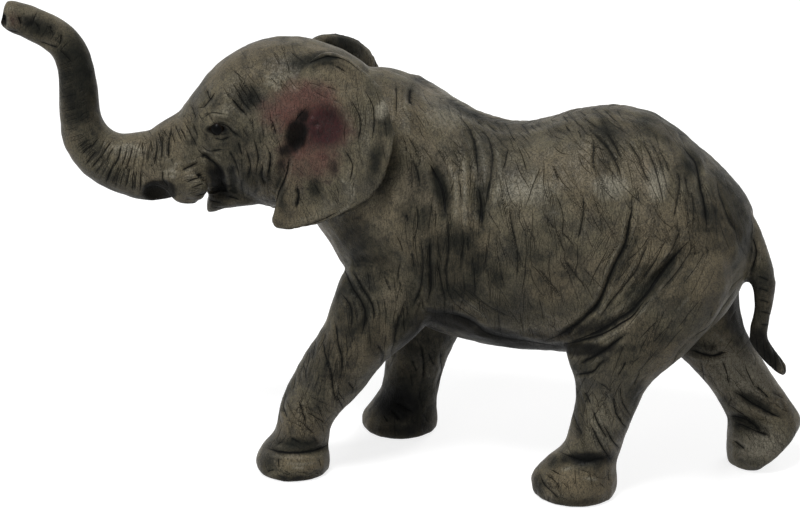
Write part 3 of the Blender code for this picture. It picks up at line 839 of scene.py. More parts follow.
    def ring(self, name: str, rings: Rings) -> None:
        """Cut creases side by side across a part.

        Args:
            name: The part's name.
            rings: The lines that they join, how many there are and how evenly they lie.
        """
        dice = np.random.default_rng([int(value) for value in (*rings.inner, rings.count)])
        inner = rounded(tuple(zip(rings.inner[::2], rings.inner[1::2])))
        outer = rounded(tuple(zip(rings.outer[::2], rings.outer[1::2])))
        for index in range(rings.count):
            place = (index + 0.5 + dice.uniform(-rings.jitter, rings.jitter)) / rings.count
            first = point_on(inner, place)
            shift = dice.uniform(-self.RING_SHIFT, self.RING_SHIFT)
            last = point_on(outer, place + shift / rings.count)
            start, end = dice.uniform(0.0, rings.trim), 1.0 - dice.uniform(0.0, rings.trim)
            aside = np.array((first[1] - last[1], last[0] - first[0]))
            bow = aside * dice.uniform(-self.RING_BEND, self.RING_BEND)
            run = last - first
            path = (first + run * start, (first + last) / 2 + bow, first + run * end)
            strength = dice.uniform(*self.RING_STRENGTH)
            self.cut(name, Line(rings.stroke, tuple(map(tuple, path)), strength))

    def finish(self) -> None:
        """Move the skin by its relief and store its paint on the mesh."""
        sheet = self.sheet
        relief = self.ridge - self.groove + self.mass
        sheet.points += sheet.normals * relief[:, None]
        sheet.points[:, 2] = np.maximum(sheet.points[:, 2], 0.0)
        sheet.write_points()
        sheet.normals = sheet.averaged(sheet.normals, 1)
        eased = sheet.averaged(sheet.points, HOLLOW_ROUNDS)
        hollow = ((eased - sheet.points) * sheet.normals).sum(axis=1) / HOLLOW_FULL
        # Painted shade on the undersides, where the skin faces down.
        under_shade = UNDERSIDE_SHADE * smooth_step(*UNDERSIDE_LEAN, -sheet.normals[:, 2])
        # The wash gathers in the hollows, with painted shade there.
        wash_and_shade = np.maximum(self.paint["wash_and_shade"], under_shade) + HOLLOW_WASH_AND_SHADE * np.clip(hollow, 0.0, 1.0)
        wash_and_shade = np.clip(wash_and_shade, 0.0, 1.0)
        # Pale dust on the ridges, with painted highlight.
        dust_and_highlight = self.paint["dust_and_highlight"] + RIDGE_DUST_AND_HIGHLIGHT * np.clip(-hollow, 0.0, 1.0)
        dust_and_highlight = np.clip(dust_and_highlight, 0.0, 1.0) * (1.0 - WINE_COVER * self.paint["wine"])
        mesh = self.object.data
        store_colour(mesh, "paint", (wash_and_shade, dust_and_highlight, self.paint["wine"]))
        store_colour(mesh, "tone", (self.paint["blush"], self.paint["black_and_deep_shade"], self.paint["nail"]))
        store_colour(mesh, "line", (self.line_away, self.line_half, self.line_dark))
        normals = mesh.attributes.new("skin_normal", "FLOAT_VECTOR", "POINT")
        normals.data.foreach_set("vector", sheet.read_normals().ravel())


def point_on(path: np.ndarray, share: float) -> np.ndarray:
    """Find the point at a share of a line's length.

    Args:
        path: The line's points, one per row.
        share: The share, from 0 at its start to 1 at its end.

    Returns:
        The point.
    """
    steps = np.hypot(*np.diff(path, axis=0).T)
    lengths = np.concatenate(([0.0], np.cumsum(steps)))
    wanted = np.clip(share, 0.0, 1.0) * lengths[-1]
    return np.array([np.interp(wanted, lengths, column) for column in path.T])


def distance_to(points: np.ndarray, path: np.ndarray) -> tuple[np.ndarray, np.ndarray]:
    """Measure how far points lie from a line, and how far along it.

    Args:
        points: Places in the picture, one per row.
        path: The line's points, one per row.

    Returns:
        Each place's distance, less than nothing on one side of the line, and the share of the
        line's length at its nearest point.
    """
    starts = path[:-1]
    runs = path[1:] - starts
    lengths = np.maximum(np.hypot(runs[:, 0], runs[:, 1]), 1e-6)
    before = np.concatenate(([0.0], np.cumsum(lengths)[:-1]))
    offset = points[:, None, :] - starts[None, :, :]
    share = np.clip((offset * runs[None]).sum(axis=2) / lengths**2, 0.0, 1.0)
    gap = offset - share[..., None] * runs[None]
    away = np.hypot(gap[..., 0], gap[..., 1])
    best = away.argmin(axis=1)
    rows = np.arange(len(points))
    along = (before[best] + share[rows, best] * lengths[best]) / lengths.sum()
    turn = runs[best, 0] * offset[rows, best, 1] - runs[best, 1] * offset[rows, best, 0]
    return np.where(turn < 0, -1.0, 1.0) * away[rows, best], along


def store_colour(mesh: bpy.types.Mesh, name: str, channels: tuple[np.ndarray, ...]) -> None:
    """Store three values per vertex as a colour attribute.

    Args:
        mesh: The mesh.
        name: The attribute's name.
        channels: The three values of every vertex.
    """
    layer = mesh.attributes.new(name, "FLOAT_COLOR", "POINT")
    colours = np.column_stack((*channels, np.ones(len(channels[0])))).astype(np.float32)
    layer.data.foreach_set("color", colours.ravel())


def keep_outermost(skin: bpy.types.Object) -> bpy.types.Object:
    """Part a mesh's loose shells and keep the one that reaches furthest.

    Args:
        skin: The object with the shells.

    Returns:
        The object that holds the outermost shell alone.
    """
    shells = separated(skin, "LOOSE")
    shells.sort(key=lambda shell: shell.dimensions.length)
    outer = shells.pop()
    for shell in shells:
        bpy.data.objects.remove(shell)
    outer.name = "skin"
    return outer


def apply_modifiers(thing: bpy.types.Object) -> None:
    """Replace an object's mesh by what its modifiers make of it.

    Args:
        thing: The object.
    """
    depsgraph = bpy.context.evaluated_depsgraph_get()
    made = bpy.data.meshes.new_from_object(thing.evaluated_get(depsgraph))
    thing.modifiers.clear()
    thing.data = made
    made.materials.clear()


def separated(thing: bpy.types.Object, kind: str) -> list[bpy.types.Object]:
    """Part an object's mesh into several objects.

    Args:
        thing: The object.
        kind: What it is parted by, LOOSE shells or MATERIAL.

    Returns:
        The objects that it becomes.
    """
    bpy.ops.object.select_all(action="DESELECT")
    thing.select_set(True)
    bpy.context.view_layer.objects.active = thing
    bpy.ops.object.mode_set(mode="EDIT")
    bpy.ops.mesh.separate(type=kind)
    bpy.ops.object.mode_set(mode="OBJECT")
    return list(bpy.context.selected_objects)


@dataclass(frozen=True)
class Mirror:
    """An upright plane that swaps the calf's left and right."""

    pivot: Place
    turn: float
    far_only: bool = False

    def turned(self, points: np.ndarray, normals: np.ndarray) -> tuple[np.ndarray, np.ndarray]:
        """Swap places and normals to the other side.

        Args:
            points: Places, one per row.
            normals: Their normals.

        Returns:
            The swapped places and normals; with far_only, near ones stay as they are.
        """
        aside = np.array((-math.sin(self.turn), math.cos(self.turn), 0.0))
        distance = (points - np.array(self.pivot)) @ aside
        lean = normals @ aside
        if self.far_only:
            far = distance > 0
            distance = np.where(far, distance, 0.0)
            lean = np.where(far, lean, 0.0)
        return points - 2 * distance[:, None] * aside, normals - 2 * lean[:, None] * aside


BODY_MIRROR = Mirror(pivot=(0.0, 0.0, 0.0), turn=0.0)
HEAD_MIRROR = Mirror(pivot=NECK_PIVOT, turn=HEAD_TURN, far_only=True)


class Weathering:
    """Wrinkles and unevenness that cover the whole skin, whichever side it shows."""

    def __init__(self, skin: Skin) -> None:
        """Keep the calf's skin, which is to be weathered."""
        self.skin = skin

    def wrinkles(self, lean: float, across: float, along: float, seed: int) -> np.ndarray:
        """Make a field of fine wrinkles that run one way.

        Args:
            lean: How far the wrinkles lean from upright towards the tail, in degrees.
            across: Distance from one wrinkle to the next.
            along: Length of a wrinkle.
            seed: Seed of the field.

        Returns:
            The field, 1 in the middle of a wrinkle and 0 between them.
        """
        turn = math.radians(lean)
        points = self.skin.sheet.points
        side = points[:, 0] * math.cos(turn) - points[:, 2] * math.sin(turn)
        rise = points[:, 0] * math.sin(turn) + points[:, 2] * math.cos(turn)
        cells = np.column_stack((side / across, points[:, 1] / across, rise / along))
        noise = LatticeNoise(seed).layered(cells, 2)
        return 1.0 - smooth_step(0.0, WRINKLE_WIDTH, np.abs(noise - 0.5))

    def apply(self) -> None:
        """Add the wrinkles and a gentle unevenness to the skin's relief."""
        skin = self.skin
        points = skin.sheet.points
        lumps = LatticeNoise(31).layered(points / LUMP_SIZE, 2) - 0.5
        skin.mass += lumps * LUMP_HEIGHT
        patches = LatticeNoise(32).at(points / PATCH_SIZE)
        upright = self.wrinkles(lean=8.0, across=1.5 * MM, along=5.5 * MM, seed=41)
        leaning = self.wrinkles(lean=-38.0, across=1.4 * MM, along=4.5 * MM, seed=42)
        crossing = self.wrinkles(lean=62.0, across=1.6 * MM, along=3.6 * MM, seed=43)
        first = smooth_step(*PATCH_EDGE, patches)
        net = np.maximum(first * upright, (1.0 - first) * leaning)
        net = np.maximum(net, CROSSING_SHARE * crossing)
        free = 1.0 - skin.members_mask(SMOOTH_PARTS)
        skin.groove = np.maximum(skin.groove, NET_DEPTH * net * free)
        skin.paint["wash_and_shade"] = np.maximum(skin.paint["wash_and_shade"], NET_WASH * net * free)


@dataclass
class SkinPart:
    """One moulded part of the calf, with the strokes that carve and paint it."""

    name: str
    lines: tuple[Line, ...] = ()
    mounds: tuple[Mound, ...] = ()
    scratches: tuple[Scratches, ...] = ()
    rings: tuple[Rings, ...] = ()
    swells: tuple[Swell, ...] = ()
    mirror: Mirror | None = None
    wall: float = 1.2 * MM
    piece: bpy.types.Object | None = field(default=None, init=False)

    def carve(self, skin: Skin) -> None:
        """Carve the part's own strokes into the skin.

        Args:
            skin: The calf's skin.
        """
        skin.look_at(self.name, self.mirror)
        for swell in self.swells:
            skin.swell(self.name, swell)
        for mound in self.mounds:
            skin.press(self.name, mound)
        for line in self.lines:
            skin.cut(self.name, line)
        for rings in self.rings:
            skin.ring(self.name, rings)
        for patch in self.scratches:
            skin.scratch(self.name, patch)

    def build(self, patch: bpy.types.Object) -> bpy.types.Object:
        """Close the part's patch of skin into a body.

        Args:
            patch: The patch that was parted from the skin.

        Returns:
            The closed piece.
        """
        mesh = patch.data
        shape = bmesh.new()
        shape.from_mesh(mesh)
        rim = [edge for edge in shape.edges if edge.is_boundary]
        if rim:
            close_rim(shape, rim, self.wall)
        shape.to_mesh(mesh)
        shape.free()
        mesh.update()
        smooth = np.empty(len(mesh.vertices) * 3, np.float32)
        mesh.attributes["skin_normal"].data.foreach_get("vector", smooth)
        mesh.polygons.foreach_set("use_smooth", [True] * len(mesh.polygons))
        mesh.normals_split_custom_set_from_vertices(smooth.reshape(-1, 3).tolist())
        mesh.attributes.remove(mesh.attributes["skin_normal"])
        patch.name = f"skin_{self.name}"
        mesh.name = patch.name
        self.piece = patch
        return patch

    def dress(self, paint: bpy.types.Material) -> None:
        """Give the piece its paint and its place on the model.

        Args:
            paint: The painted skin's material.
        """
        self.piece.data.materials.clear()
        self.piece.data.materials.append(paint)
        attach(self.piece, "root")
        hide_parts(self.name)
        LOG.info("%s: %d faces", self.piece.name, len(self.piece.data.polygons))


def close_rim(shape: bmesh.types.BMesh, rim: list[bmesh.types.BMEdge], wall: float) -> None:
    """Turn a patch's open rim inwards and close it with a hidden cap.

    Args:
        shape: The patch.
        rim: The edges of its open rim.
        wall: How deep the rim is turned in.
    """
    inward = {}
    for edge in rim:
        for vert in edge.verts:
            middle = Vector()
            for face in vert.link_faces:
                middle += face.calc_center_median()
            middle /= max(len(vert.link_faces), 1)
            aside = (middle - vert.co).normalized() * RIM_GAP
            inward[vert] = vert.co - vert.normal * wall + aside
    turned = bmesh.ops.extrude_edge_only(shape, edges=rim)
    fresh = [item for item in turned["geom"] if isinstance(item, bmesh.types.BMVert)]
    places = {tuple(vert.co): place for vert, place in inward.items()}
    for vert in fresh:
        vert.co = places[tuple(vert.co)]
    edges = [item for item in turned["geom"] if isinstance(item, bmesh.types.BMEdge)]
    open_edges = [edge for edge in edges if edge.is_boundary]
    caps = bmesh.ops.holes_fill(shape, edges=open_edges, sides=0)["faces"]
    bmesh.ops.poke(shape, faces=caps)


def part_skin(skin: Skin) -> dict[str, bpy.types.Object]:
    """Part the whole skin at the solids' seams.

    Args:
        skin: The carved and painted skin.

    Returns:
        Each part's patch of skin by the part's name.
    """
    mesh = skin.object.data
    marks = {bpy.data.materials.new(f"patch_{name}"): name for name in skin.names}
    for mark in marks:
        mesh.materials.append(mark)
    corners = np.empty(len(mesh.polygons), np.int32)
    mesh.polygons.foreach_get("loop_start", corners)
    verts = np.empty(len(mesh.loops), np.int32)
    mesh.loops.foreach_get("vertex_index", verts)
    owners = skin.labels[verts[corners]].astype(np.int32)
    mesh.polygons.foreach_set("material_index", owners)
    patches = {}
    for patch in separated(skin.object, "MATERIAL"):
        patches[marks[patch.data.materials[0]]] = patch
        patch.data.materials.clear()
    for mark in marks:
        bpy.data.materials.remove(mark)
    return patches


FOLD, FURROW, CREASE, CUT, HAIRLINE, RIDGE, STREAK, SMUDGE = Stroke


@dataclass
class Ear(SkinPart):
    """A thin ear: a pink bowl with a hole in front that is painted black as deep shade, and a
    mottled flap whose pale rim is partly painted highlight.
    """

    lines: tuple[Line, ...] = (
        *strokes(CREASE, (302,66, 315,60, 326,57, 340,59, 350,63, 360,71), (385,72, 380,80),
                 (331,30, 336,42, 348,54),
                 (285,150, 288,165, 284,180, 277,195, 276,205), (297,187, 298,198, 297,208)),
        *strokes(CUT, (335,66, 345,72), (352,100, 360,120, 358,142), (366,92, 374,112, 372,140),
                 (345,150, 352,165, 350,182), (277,231, 300,227, 320,221, 340,211),
                 (306,108, 297,118, 290,132, 284,150),
                 (302,112, 292,126, 286,140), (296,112, 287,126, 281,142)),
        *strokes(CUT, (397,85, 398,110, 396,140, 390,165, 378,190, 360,205, 345,212), strength=0.7),
        *strokes(RIDGE, (318,103, 334,105, 346,115, 351,130, 346,146, 334,158), strength=0.7),
        *strokes(RIDGE, (391,98, 393,120, 390,146, 382,168), strength=0.5),
        *strokes(STREAK, (335,216, 350,204, 354,190, 346,175), (380,98, 384,112, 382,126),
                 (340,178, 352,186), (378,104, 386,108)),
        *strokes(STREAK, (356,84, 366,96, 369,112), (290,222, 316,216, 336,208), strength=0.6),
        *strokes(SMUDGE, (300,64, 318,58, 336,54), (374,146, 377,172), (382,118, 381,136),
                 (314,182, 316,198), (330,162, 334,176), strength=0.8),
    )
    # Pink and maroon paint in the bowl; painted shade in the hole, at the flap's top and along its
    # rear edge; painted highlights on the rear edge and the folds.
    mounds: tuple[Mound, ...] = (
        Mound((320,131), (34,36), height=-0.85, turn=-10),
        Mound((304,108), (52,40), blush=1.0, turn=-14, edge=1.25),
        Mound((300,150), (34,50), blush=0.85, turn=18),
        Mound((318,162), (34,30), blush=0.85),
        Mound((340,128), (26,38), blush=0.55),
        Mound((324,128), (32,32), wine=1.0, edge=1.4),
        Mound((331,116), (17,13), height=-0.15, turn=28, black_and_deep_shade=0.42),
        Mound((296,135), (15,23), height=-0.6, turn=12, black_and_deep_shade=1.0, edge=1.35),
        Mound((286,151), (10,15), turn=30, black_and_deep_shade=0.8),
        Mound((303,116), (9,13), height=-0.2, turn=24, black_and_deep_shade=0.8, edge=1.2),
        Mound((281,164), (8,18), turn=20, black_and_deep_shade=0.6),
        Mound((281,192), (9,34), wash_and_shade=0.85),
        Mound((312,60), (38,12), turn=-8, wash_and_shade=0.95),
        Mound((372,72), (24,8), turn=24, wash_and_shade=0.55),
        Mound((315,189), (12,18), wash_and_shade=0.95),
        Mound((297,198), (4,14), wash_and_shade=0.8),
        Mound((333,168), (11,17), wash_and_shade=0.7),
        Mound((350,156), (8,14), wash_and_shade=0.35),
        Mound((376,160), (13,38), turn=10, wash_and_shade=0.95),
        Mound((388,128), (7,22), wash_and_shade=0.6),
        Mound((366,140), (14,44), dust_and_highlight=0.3),
        Mound((382,111), (9,14), height=0.25, dust_and_highlight=0.95),
        Mound((367,114), (8,8), dust_and_highlight=0.3),
        Mound((350,92), (34,24), height=0.15, dust_and_highlight=0.2),
        Mound((350,188), (12,24), height=0.3, dust_and_highlight=0.42),
        Mound((312,121), (6,6), height=0.6),
        Mound((317,131), (6,7), height=0.6),
        Mound((308,139), (5,6), height=0.4),
        Mound((326,209), (30,12), height=0.3, turn=-25, dust_and_highlight=0.32),
        Mound((292,222), (18,9), dust_and_highlight=0.2),
    )
    shade: ClassVar[Mound] = Mound((345,78), (66,28), wash_and_shade=0.90, black_and_deep_shade=0.35, edge=1.3)
    scratches: tuple[Scratches, ...] = (
        Scratches((290,165), (350,222), 20, 62, length=(7,16)),
        Scratches((345,75), (392,185), 26, 80, length=(8,20)),
        Scratches((285,68), (345,100), 12, 24, length=(7,14)),
    )


@dataclass
class Head(SkinPart):
    """The head: a domed forehead, a heavy brow, creased cheeks and the pink skin by the ears."""

    name: str = "head"
    mirror: Mirror | None = HEAD_MIRROR
    lines: tuple[Line, ...] = (
        *strokes(FURROW, (201,157, 212,162, 220,172, 222,185, 228,195),
                 (200,157, 206,157, 211,162)),
        *strokes(CREASE, (215,93, 203,108), (206,90, 210,100), (232,99, 245,114),
                 (209,129, 217,124, 227,126, 233,132, 240,137),
                 (167,188, 162,180, 163,170), (269,150, 270,162, 268,175),
                 (263,165, 262,175, 264,185), (182,170, 197,163), (187,182, 203,174),
                 (195,193, 207,190)),
        *strokes(CUT, (190,105, 196,119), (184,122, 190,134, 197,147), (163,130, 168,140),
                 (180,128, 186,140), (199,108, 205,107), (214,138, 222,140, 229,137),
                 (203,118, 212,113, 226,114), (202,146, 210,151, 222,150), (198,150, 205,157),
                 (190,187, 200,182), (246,150, 250,165, 248,180), (254,140, 258,156, 256,172),
                 (238,142, 242,156), (228,150, 236,164, 240,178), (272,120, 276,134),
                 (174,124, 182,141), (170,131, 175,143), (193,124, 197,137)),
        *strokes(HAIRLINE, (233,84, 243,98), (238,82, 249,98), (244,82, 255,99), (241,98, 250,111),
                 (248,96, 257,110), (233,70, 243,78), (238,76, 246,88), (262,120, 264,140),
                 (270,112, 272,132), (252,118, 253,134), (250,84, 259,98), (236,92, 246,106),
                 (255,92, 261,104), (240,106, 247,116), (224,88, 229,98), (199,115, 204,123)),
        *strokes(RIDGE, (210,118, 218,114, 230,116, 238,123), strength=0.8),
        *strokes(RIDGE, (163,168, 178,165, 200,159), (203,176, 206,184, 208,192), strength=0.7),
        *strokes(STREAK, (262,76, 274,79, 283,87), (264,80, 276,84), (272,84, 282,89),
                 (160,172, 168,171, 178,172), (168,176, 176,178)),
        *strokes(STREAK, (260,83, 270,85, 280,92), (268,71, 280,76, 287,82), strength=0.8),
        *strokes(SMUDGE, (212,168, 218,180, 224,196), (234,162, 232,180, 238,198)),
    )
    # Dark patches, mostly painted shade, over the face, round the eye, in the mouth corner and
    # under the lip and the ear; painted highlights on the forehead, brow and cheeks; pink paint by
    # the ear.
    mounds: tuple[Mound, ...] = (
        Mound((224,113), (19,10), height=0.6, turn=-6, dust_and_highlight=0.1),
        Mound((249,187), (9,12), height=0.6, dust_and_highlight=0.3),
        Mound((265,172), (6,11), height=0.45, dust_and_highlight=0.25),
        Mound((233,180), (7,22), height=-0.6, black_and_deep_shade=0.5),
        Mound((160,191), (17,13), height=-0.35, black_and_deep_shade=1.0, edge=2.0),
        Mound((219,131), (13,8), height=-0.25, turn=-12, black_and_deep_shade=0.55),
        Mound((206,137), (5,8), black_and_deep_shade=0.55),
        Mound((189,143), (6,9), black_and_deep_shade=0.4),
        Mound((207,150), (9,6), height=0.35, turn=25, dust_and_highlight=0.15),
        Mound((247,97), (24,27), wash_and_shade=0.8, turn=-20),
        Mound((273,81), (20,12), height=0.2, dust_and_highlight=0.2, turn=20),
        Mound((220,104), (28,18), wash_and_shade=0.42),
        Mound((212,170), (9,16), height=-0.2, turn=-30, black_and_deep_shade=0.85),
        Mound((219,181), (12,24), height=-0.25, turn=-14, black_and_deep_shade=1.0, edge=1.4),
        Mound((252,180), (40,24), wash_and_shade=0.8),
        Mound((281,188), (12,34), height=-0.3, wash_and_shade=0.8),
        Mound((276,112), (30,30), blush=0.75),
        Mound((258,125), (20,20), dust_and_highlight=0.16),
        Mound((180,152), (26,14), dust_and_highlight=0.2),
        Mound((208,100), (12,14), wash_and_shade=0.45),
        Mound((196,134), (17,20), wash_and_shade=0.45),
        Mound((222,132), (20,14), wash_and_shade=0.8),
        Mound((240,150), (30,22), wash_and_shade=0.4),
        Mound((302,60), (20,12), wash_and_shade=0.7),
        Mound((288,44), (40,9), wash_and_shade=0.45),
        Mound((240,62), (30,14), turn=-20, wash_and_shade=0.38),
        Mound((262,58), (16,12), wash_and_shade=0.42),
        Mound((205,95), (12,12), wash_and_shade=0.5),
        Mound((255,140), (18,12), dust_and_highlight=0.14),
        Mound((238,146), (48,42), wash_and_shade=0.62),
        *Ear.mounds,
    )
    scratches: tuple[Scratches, ...] = (
        Scratches((225,45), (300,100), 26, 62, length=(7,16)),
        Scratches((150,98), (215,160), 26, 64, length=(7,16)),
        Scratches((225,100), (285,190), 30, 82, length=(8,20)),
        Scratches((165,165), (215,205), 14, -28, length=(7,14)),
    )


@dataclass
class Trunk(SkinPart):
    """The raised trunk: rings of creases round its bend, and the folded upper lip at its root."""

    name: str = "trunk"
    lines: tuple[Line, ...] = (
        *strokes(FURROW, (4,14, 3,20, 6,27)),
        *strokes(CREASE, (19,16, 21,24), (40,42, 58,48), (60,50, 72,62), (8,28, 20,32)),
        *strokes(CUT, (36,22, 40,31), (50,26, 54,36), (62,34, 60,45), (142,142, 143,155),
                 (151,140, 152,152), (158,132, 161,142)),
        *strokes(STREAK, (115,148, 130,146, 145,152), (118,153, 126,151, 134,152), (60,92, 61,112)),
        *strokes(STREAK, (118,155, 134,153, 146,158), strength=0.8),
        *strokes(SMUDGE, (74,46, 80,75, 86,110), strength=0.9),
        *strokes(SMUDGE, (68,66, 72,90, 78,115), (25,16, 35,17), strength=0.6),
        *Head.lines,
    )
    # Painted shade down the raised trunk, in the nostril and in the mouth; a painted highlight on
    # the bend; pink paint at the tip.
    mounds: tuple[Mound, ...] = (
        Mound((76,80), (34,76), turn=-8, wash_and_shade=1.0, edge=1.3),
        Mound((70,100), (14,40), black_and_deep_shade=0.35),
        Mound((66,50), (28,28), wash_and_shade=0.85),
        Mound((90,140), (26,30), wash_and_shade=0.65),
        Mound((42,28), (40,20), turn=22, wash_and_shade=1.0),
        Mound((28,20), (12,10), height=-0.15, black_and_deep_shade=0.65),
        Mound((14,20), (14,16), blush=0.55),
        Mound((3,20), (5,11), height=-0.3, black_and_deep_shade=1.0),
        Mound((128,150), (30,11), dust_and_highlight=0.46),
        Mound((108,178), (46,20), turn=24, wash_and_shade=0.55),
        Mound((159,192), (22,15), height=-0.35, black_and_deep_shade=1.0, edge=2.2),
        Mound((172,174), (14,9), height=0.35, dust_and_highlight=0.3),
        Mound((190,140), (30,26), wash_and_shade=0.55),
        Mound((150,165), (20,14), wash_and_shade=0.3),
    )
    rings: tuple[Rings, ...] = (
        Rings((90,138, 104,154, 122,163, 142,168), (76,147, 88,169, 108,186, 142,194),
              20, CREASE, trim=0.16),
        Rings((98,137, 118,142, 140,139, 160,128, 180,116),
              (88,152, 108,170, 130,176, 154,170, 178,150),
              15, CREASE, trim=0.22),
        Rings((152,130, 170,124, 190,108, 206,92), (158,156, 180,152, 198,140, 212,122), 9, CREASE,
              trim=0.35),
        Rings((59,62, 60,100, 63,130, 74,148), (74,58, 78,98, 82,126, 92,142), 20, HAIRLINE),
        Rings((82,50, 88,76, 92,110, 100,138), (72,58, 76,90, 80,124, 90,146),
              16, HAIRLINE, trim=0.5),
        Rings((24,8, 42,14, 62,28, 78,46), (18,26, 34,38, 52,46, 64,62), 11, HAIRLINE, trim=0.5),
    )
    scratches: tuple[Scratches, ...] = (
        Scratches((140,125), (200,170), 22, 66, length=(7,15)),
        Scratches((165,165), (205,202), 12, -28, length=(7,14)),
    )
    swells: tuple[Swell, ...] = (
        Swell((-0.0772, -0.0180, 0.0978), 3.2, 0.50),
        Swell((-0.0768, -0.0185, 0.0940), 2.8, 0.45),
        Swell((-0.0402, -0.0165, 0.0625), 4.2, 1.5),
    )


@dataclass
class LowerJaw(SkinPart):
    """The short lower jaw, dark with painted shade and pointed at its lip."""

    name: str = "lower_jaw"
    mirror: Mirror | None = HEAD_MIRROR
    lines: tuple[Line, ...] = (
        *strokes(CUT, (210,200, 222,203), (214,207, 224,209), (228,196, 240,200)),
    )
    # Painted shade over the jaw and in the mouth gap.
    mounds: tuple[Mound, ...] = (
        Mound((222,190), (20,26), black_and_deep_shade=0.85),
        Mound((216,204), (14,12), wash_and_shade=0.9),
        Mound((250,196), (40,16), wash_and_shade=0.75),
    )
    swells: tuple[Swell, ...] = (Swell((-0.0392, -0.0105, 0.0600), 3.4, 0.9),)


@dataclass
class Torso(SkinPart):
    """One half of the trunk of the body: loose shoulder folds, a round flank and a wrinkled hip."""

    shoulder: ClassVar[tuple[Line, ...]] = (
        *strokes(FURROW, (440,313, 460,317, 475,325, 490,335, 520,341, 556,345)),
        *strokes(FOLD, (430,164, 438,178, 443,195, 445,214)),
        *strokes(FURROW, (478,188, 481,205, 482,226),
                 (411,88, 410,96, 412,104), (430,240, 429,262, 431,285, 428,300)),
        *strokes(CREASE, (460,118, 470,130, 476,150, 478,175),
                 (484,130, 492,150, 492,165, 488,190, 484,212),
                 (421,240, 423,262, 421,285, 413,306),
                 (447,214, 449,245, 446,270, 448,290, 455,302),
                 (405,300, 397,328, 390,360), (378,345, 383,354, 382,364),
                 (396,84, 397,98, 396,112),
                 (437,262, 441,282, 446,300), strength=0.8),
        *strokes(CUT, (508,148, 506,160, 503,170), (517,145, 523,158, 527,172),
                 (462,215, 463,240, 461,270),
                 (467,236, 468,252), (435,265, 436,285), (460,180, 462,200), (409,138, 420,155),
                 (424,148, 433,162), (412,158, 417,170, 420,185), (416,203, 418,222, 413,246),
                 (397,236, 403,252), (400,262, 397,282), (468,108, 478,118), (480,109, 488,120),
                 (500,118, 510,130), (520,122, 530,134), (515,240, 518,258, 517,276),
                 (509,205, 512,228, 518,250),
                 (540,168, 532,188, 526,206), (407,214, 408,222), (385,278, 391,292),
                 (412,252, 414,268), strength=0.8),
        *strokes(HAIRLINE, (450,285, 464,300, 486,316), (456,284, 470,298, 494,314),
                 (462,286, 478,300, 504,316), (446,292, 458,306, 476,318),
                 (470,290, 486,304, 512,318),
                 (452,140, 462,150), (456,150, 466,161), (452,160, 464,172)),
        *strokes(RIDGE, (385,66, 410,80, 430,88, 455,100), strength=0.7),
        *strokes(RIDGE, (455,128, 464,160, 466,200, 464,236), (446,160, 455,185, 456,225),
                 (473,126, 484,160, 480,200), (494,140, 500,170, 494,215)),
        *strokes(STREAK, (430,106, 438,117, 444,130), (450,110, 458,114, 465,121),
                 (436,110, 446,114),
                 (455,295, 472,306, 490,320), (425,112, 434,124), (458,126, 466,140, 472,152),
                 (431,278, 434,284), (486,190, 500,196, 514,194), (500,186, 520,186),
                 (523,182, 540,186, 552,194)),
        *strokes(STREAK, (403,100, 408,120, 410,140), (474,150, 476,170, 475,188),
                 (446,300, 452,306),
                 strength=0.8),
        *strokes(SMUDGE, (428,200, 426,220, 425,236), (436,168, 444,192),
                 (500,338, 530,343, 560,345),
                 (498,268, 494,284)),
        *strokes(SMUDGE, (410,312, 408,328, 412,344), strength=0.5),
    )
    hip: ClassVar[tuple[Line, ...]] = (
        *strokes(FOLD, (690,240, 665,270, 645,295, 632,310, 615,322, 595,333, 575,340)),
        *strokes(FURROW, (680,145, 690,155, 697,165, 702,190, 707,215, 706,230),
                 (632,195, 631,215, 625,245, 615,265, 607,285, 598,305, 580,322, 560,335, 540,342)),
        *strokes(CREASE, (583,117, 598,128), (605,110, 618,122),
                 (590,130, 600,140, 610,150, 617,165, 622,180),
                 (605,130, 615,145, 622,160), (628,140, 637,155, 643,170, 650,185),
                 (640,140, 650,155, 657,175, 662,195, 664,205), (594,140, 593,160, 596,175),
                 (675,170, 680,180, 677,205, 673,220), (685,175, 690,200),
                 (717,180, 722,200, 730,220, 738,235),
                 (650,240, 643,255, 637,270, 625,285, 612,300, 600,318),
                 (680,230, 672,250, 665,262),
                 (583,195, 583,215, 578,240), (735,290, 715,320, 690,340), strength=0.8),
        *strokes(CUT, (545,117, 560,122), (530,125, 537,131), (650,140, 660,160, 666,185),
                 (657,145, 665,160, 670,175), (545,215, 555,230), (560,230, 575,247),
                 (563,260, 580,280, 585,290),
                 (540,270, 560,295), (552,165, 558,180), (556,195, 563,215, 562,235),
                 (598,134, 608,148, 612,160),
                 (690,186, 694,210, 692,232), (668,236, 655,262, 640,284),
                 (700,236, 680,268, 660,292), strength=0.8),
        *strokes(HAIRLINE, (560,104, 580,112), (570,100, 592,110), (555,112, 572,120),
                 (590,98, 612,110),
                 (586,104, 604,116), (600,120, 610,132), (580,124, 590,136), (572,118, 584,128)),
        *strokes(STREAK, (598,182, 610,188, 620,200), (645,172, 656,182, 664,195),
                 (600,190, 612,196),
                 (650,176, 656,190), (604,178, 622,184), (735,236, 737,256, 730,270)),
        *strokes(STREAK, (540,312, 555,318, 565,325), (700,262, 686,280), (742,262, 722,292),
                 strength=0.7),
        *strokes(SMUDGE, (601,118, 604,140, 610,160), (684,150, 694,172), (650,262, 640,284)),
    )
    lines: tuple[Line, ...] = shoulder + hip
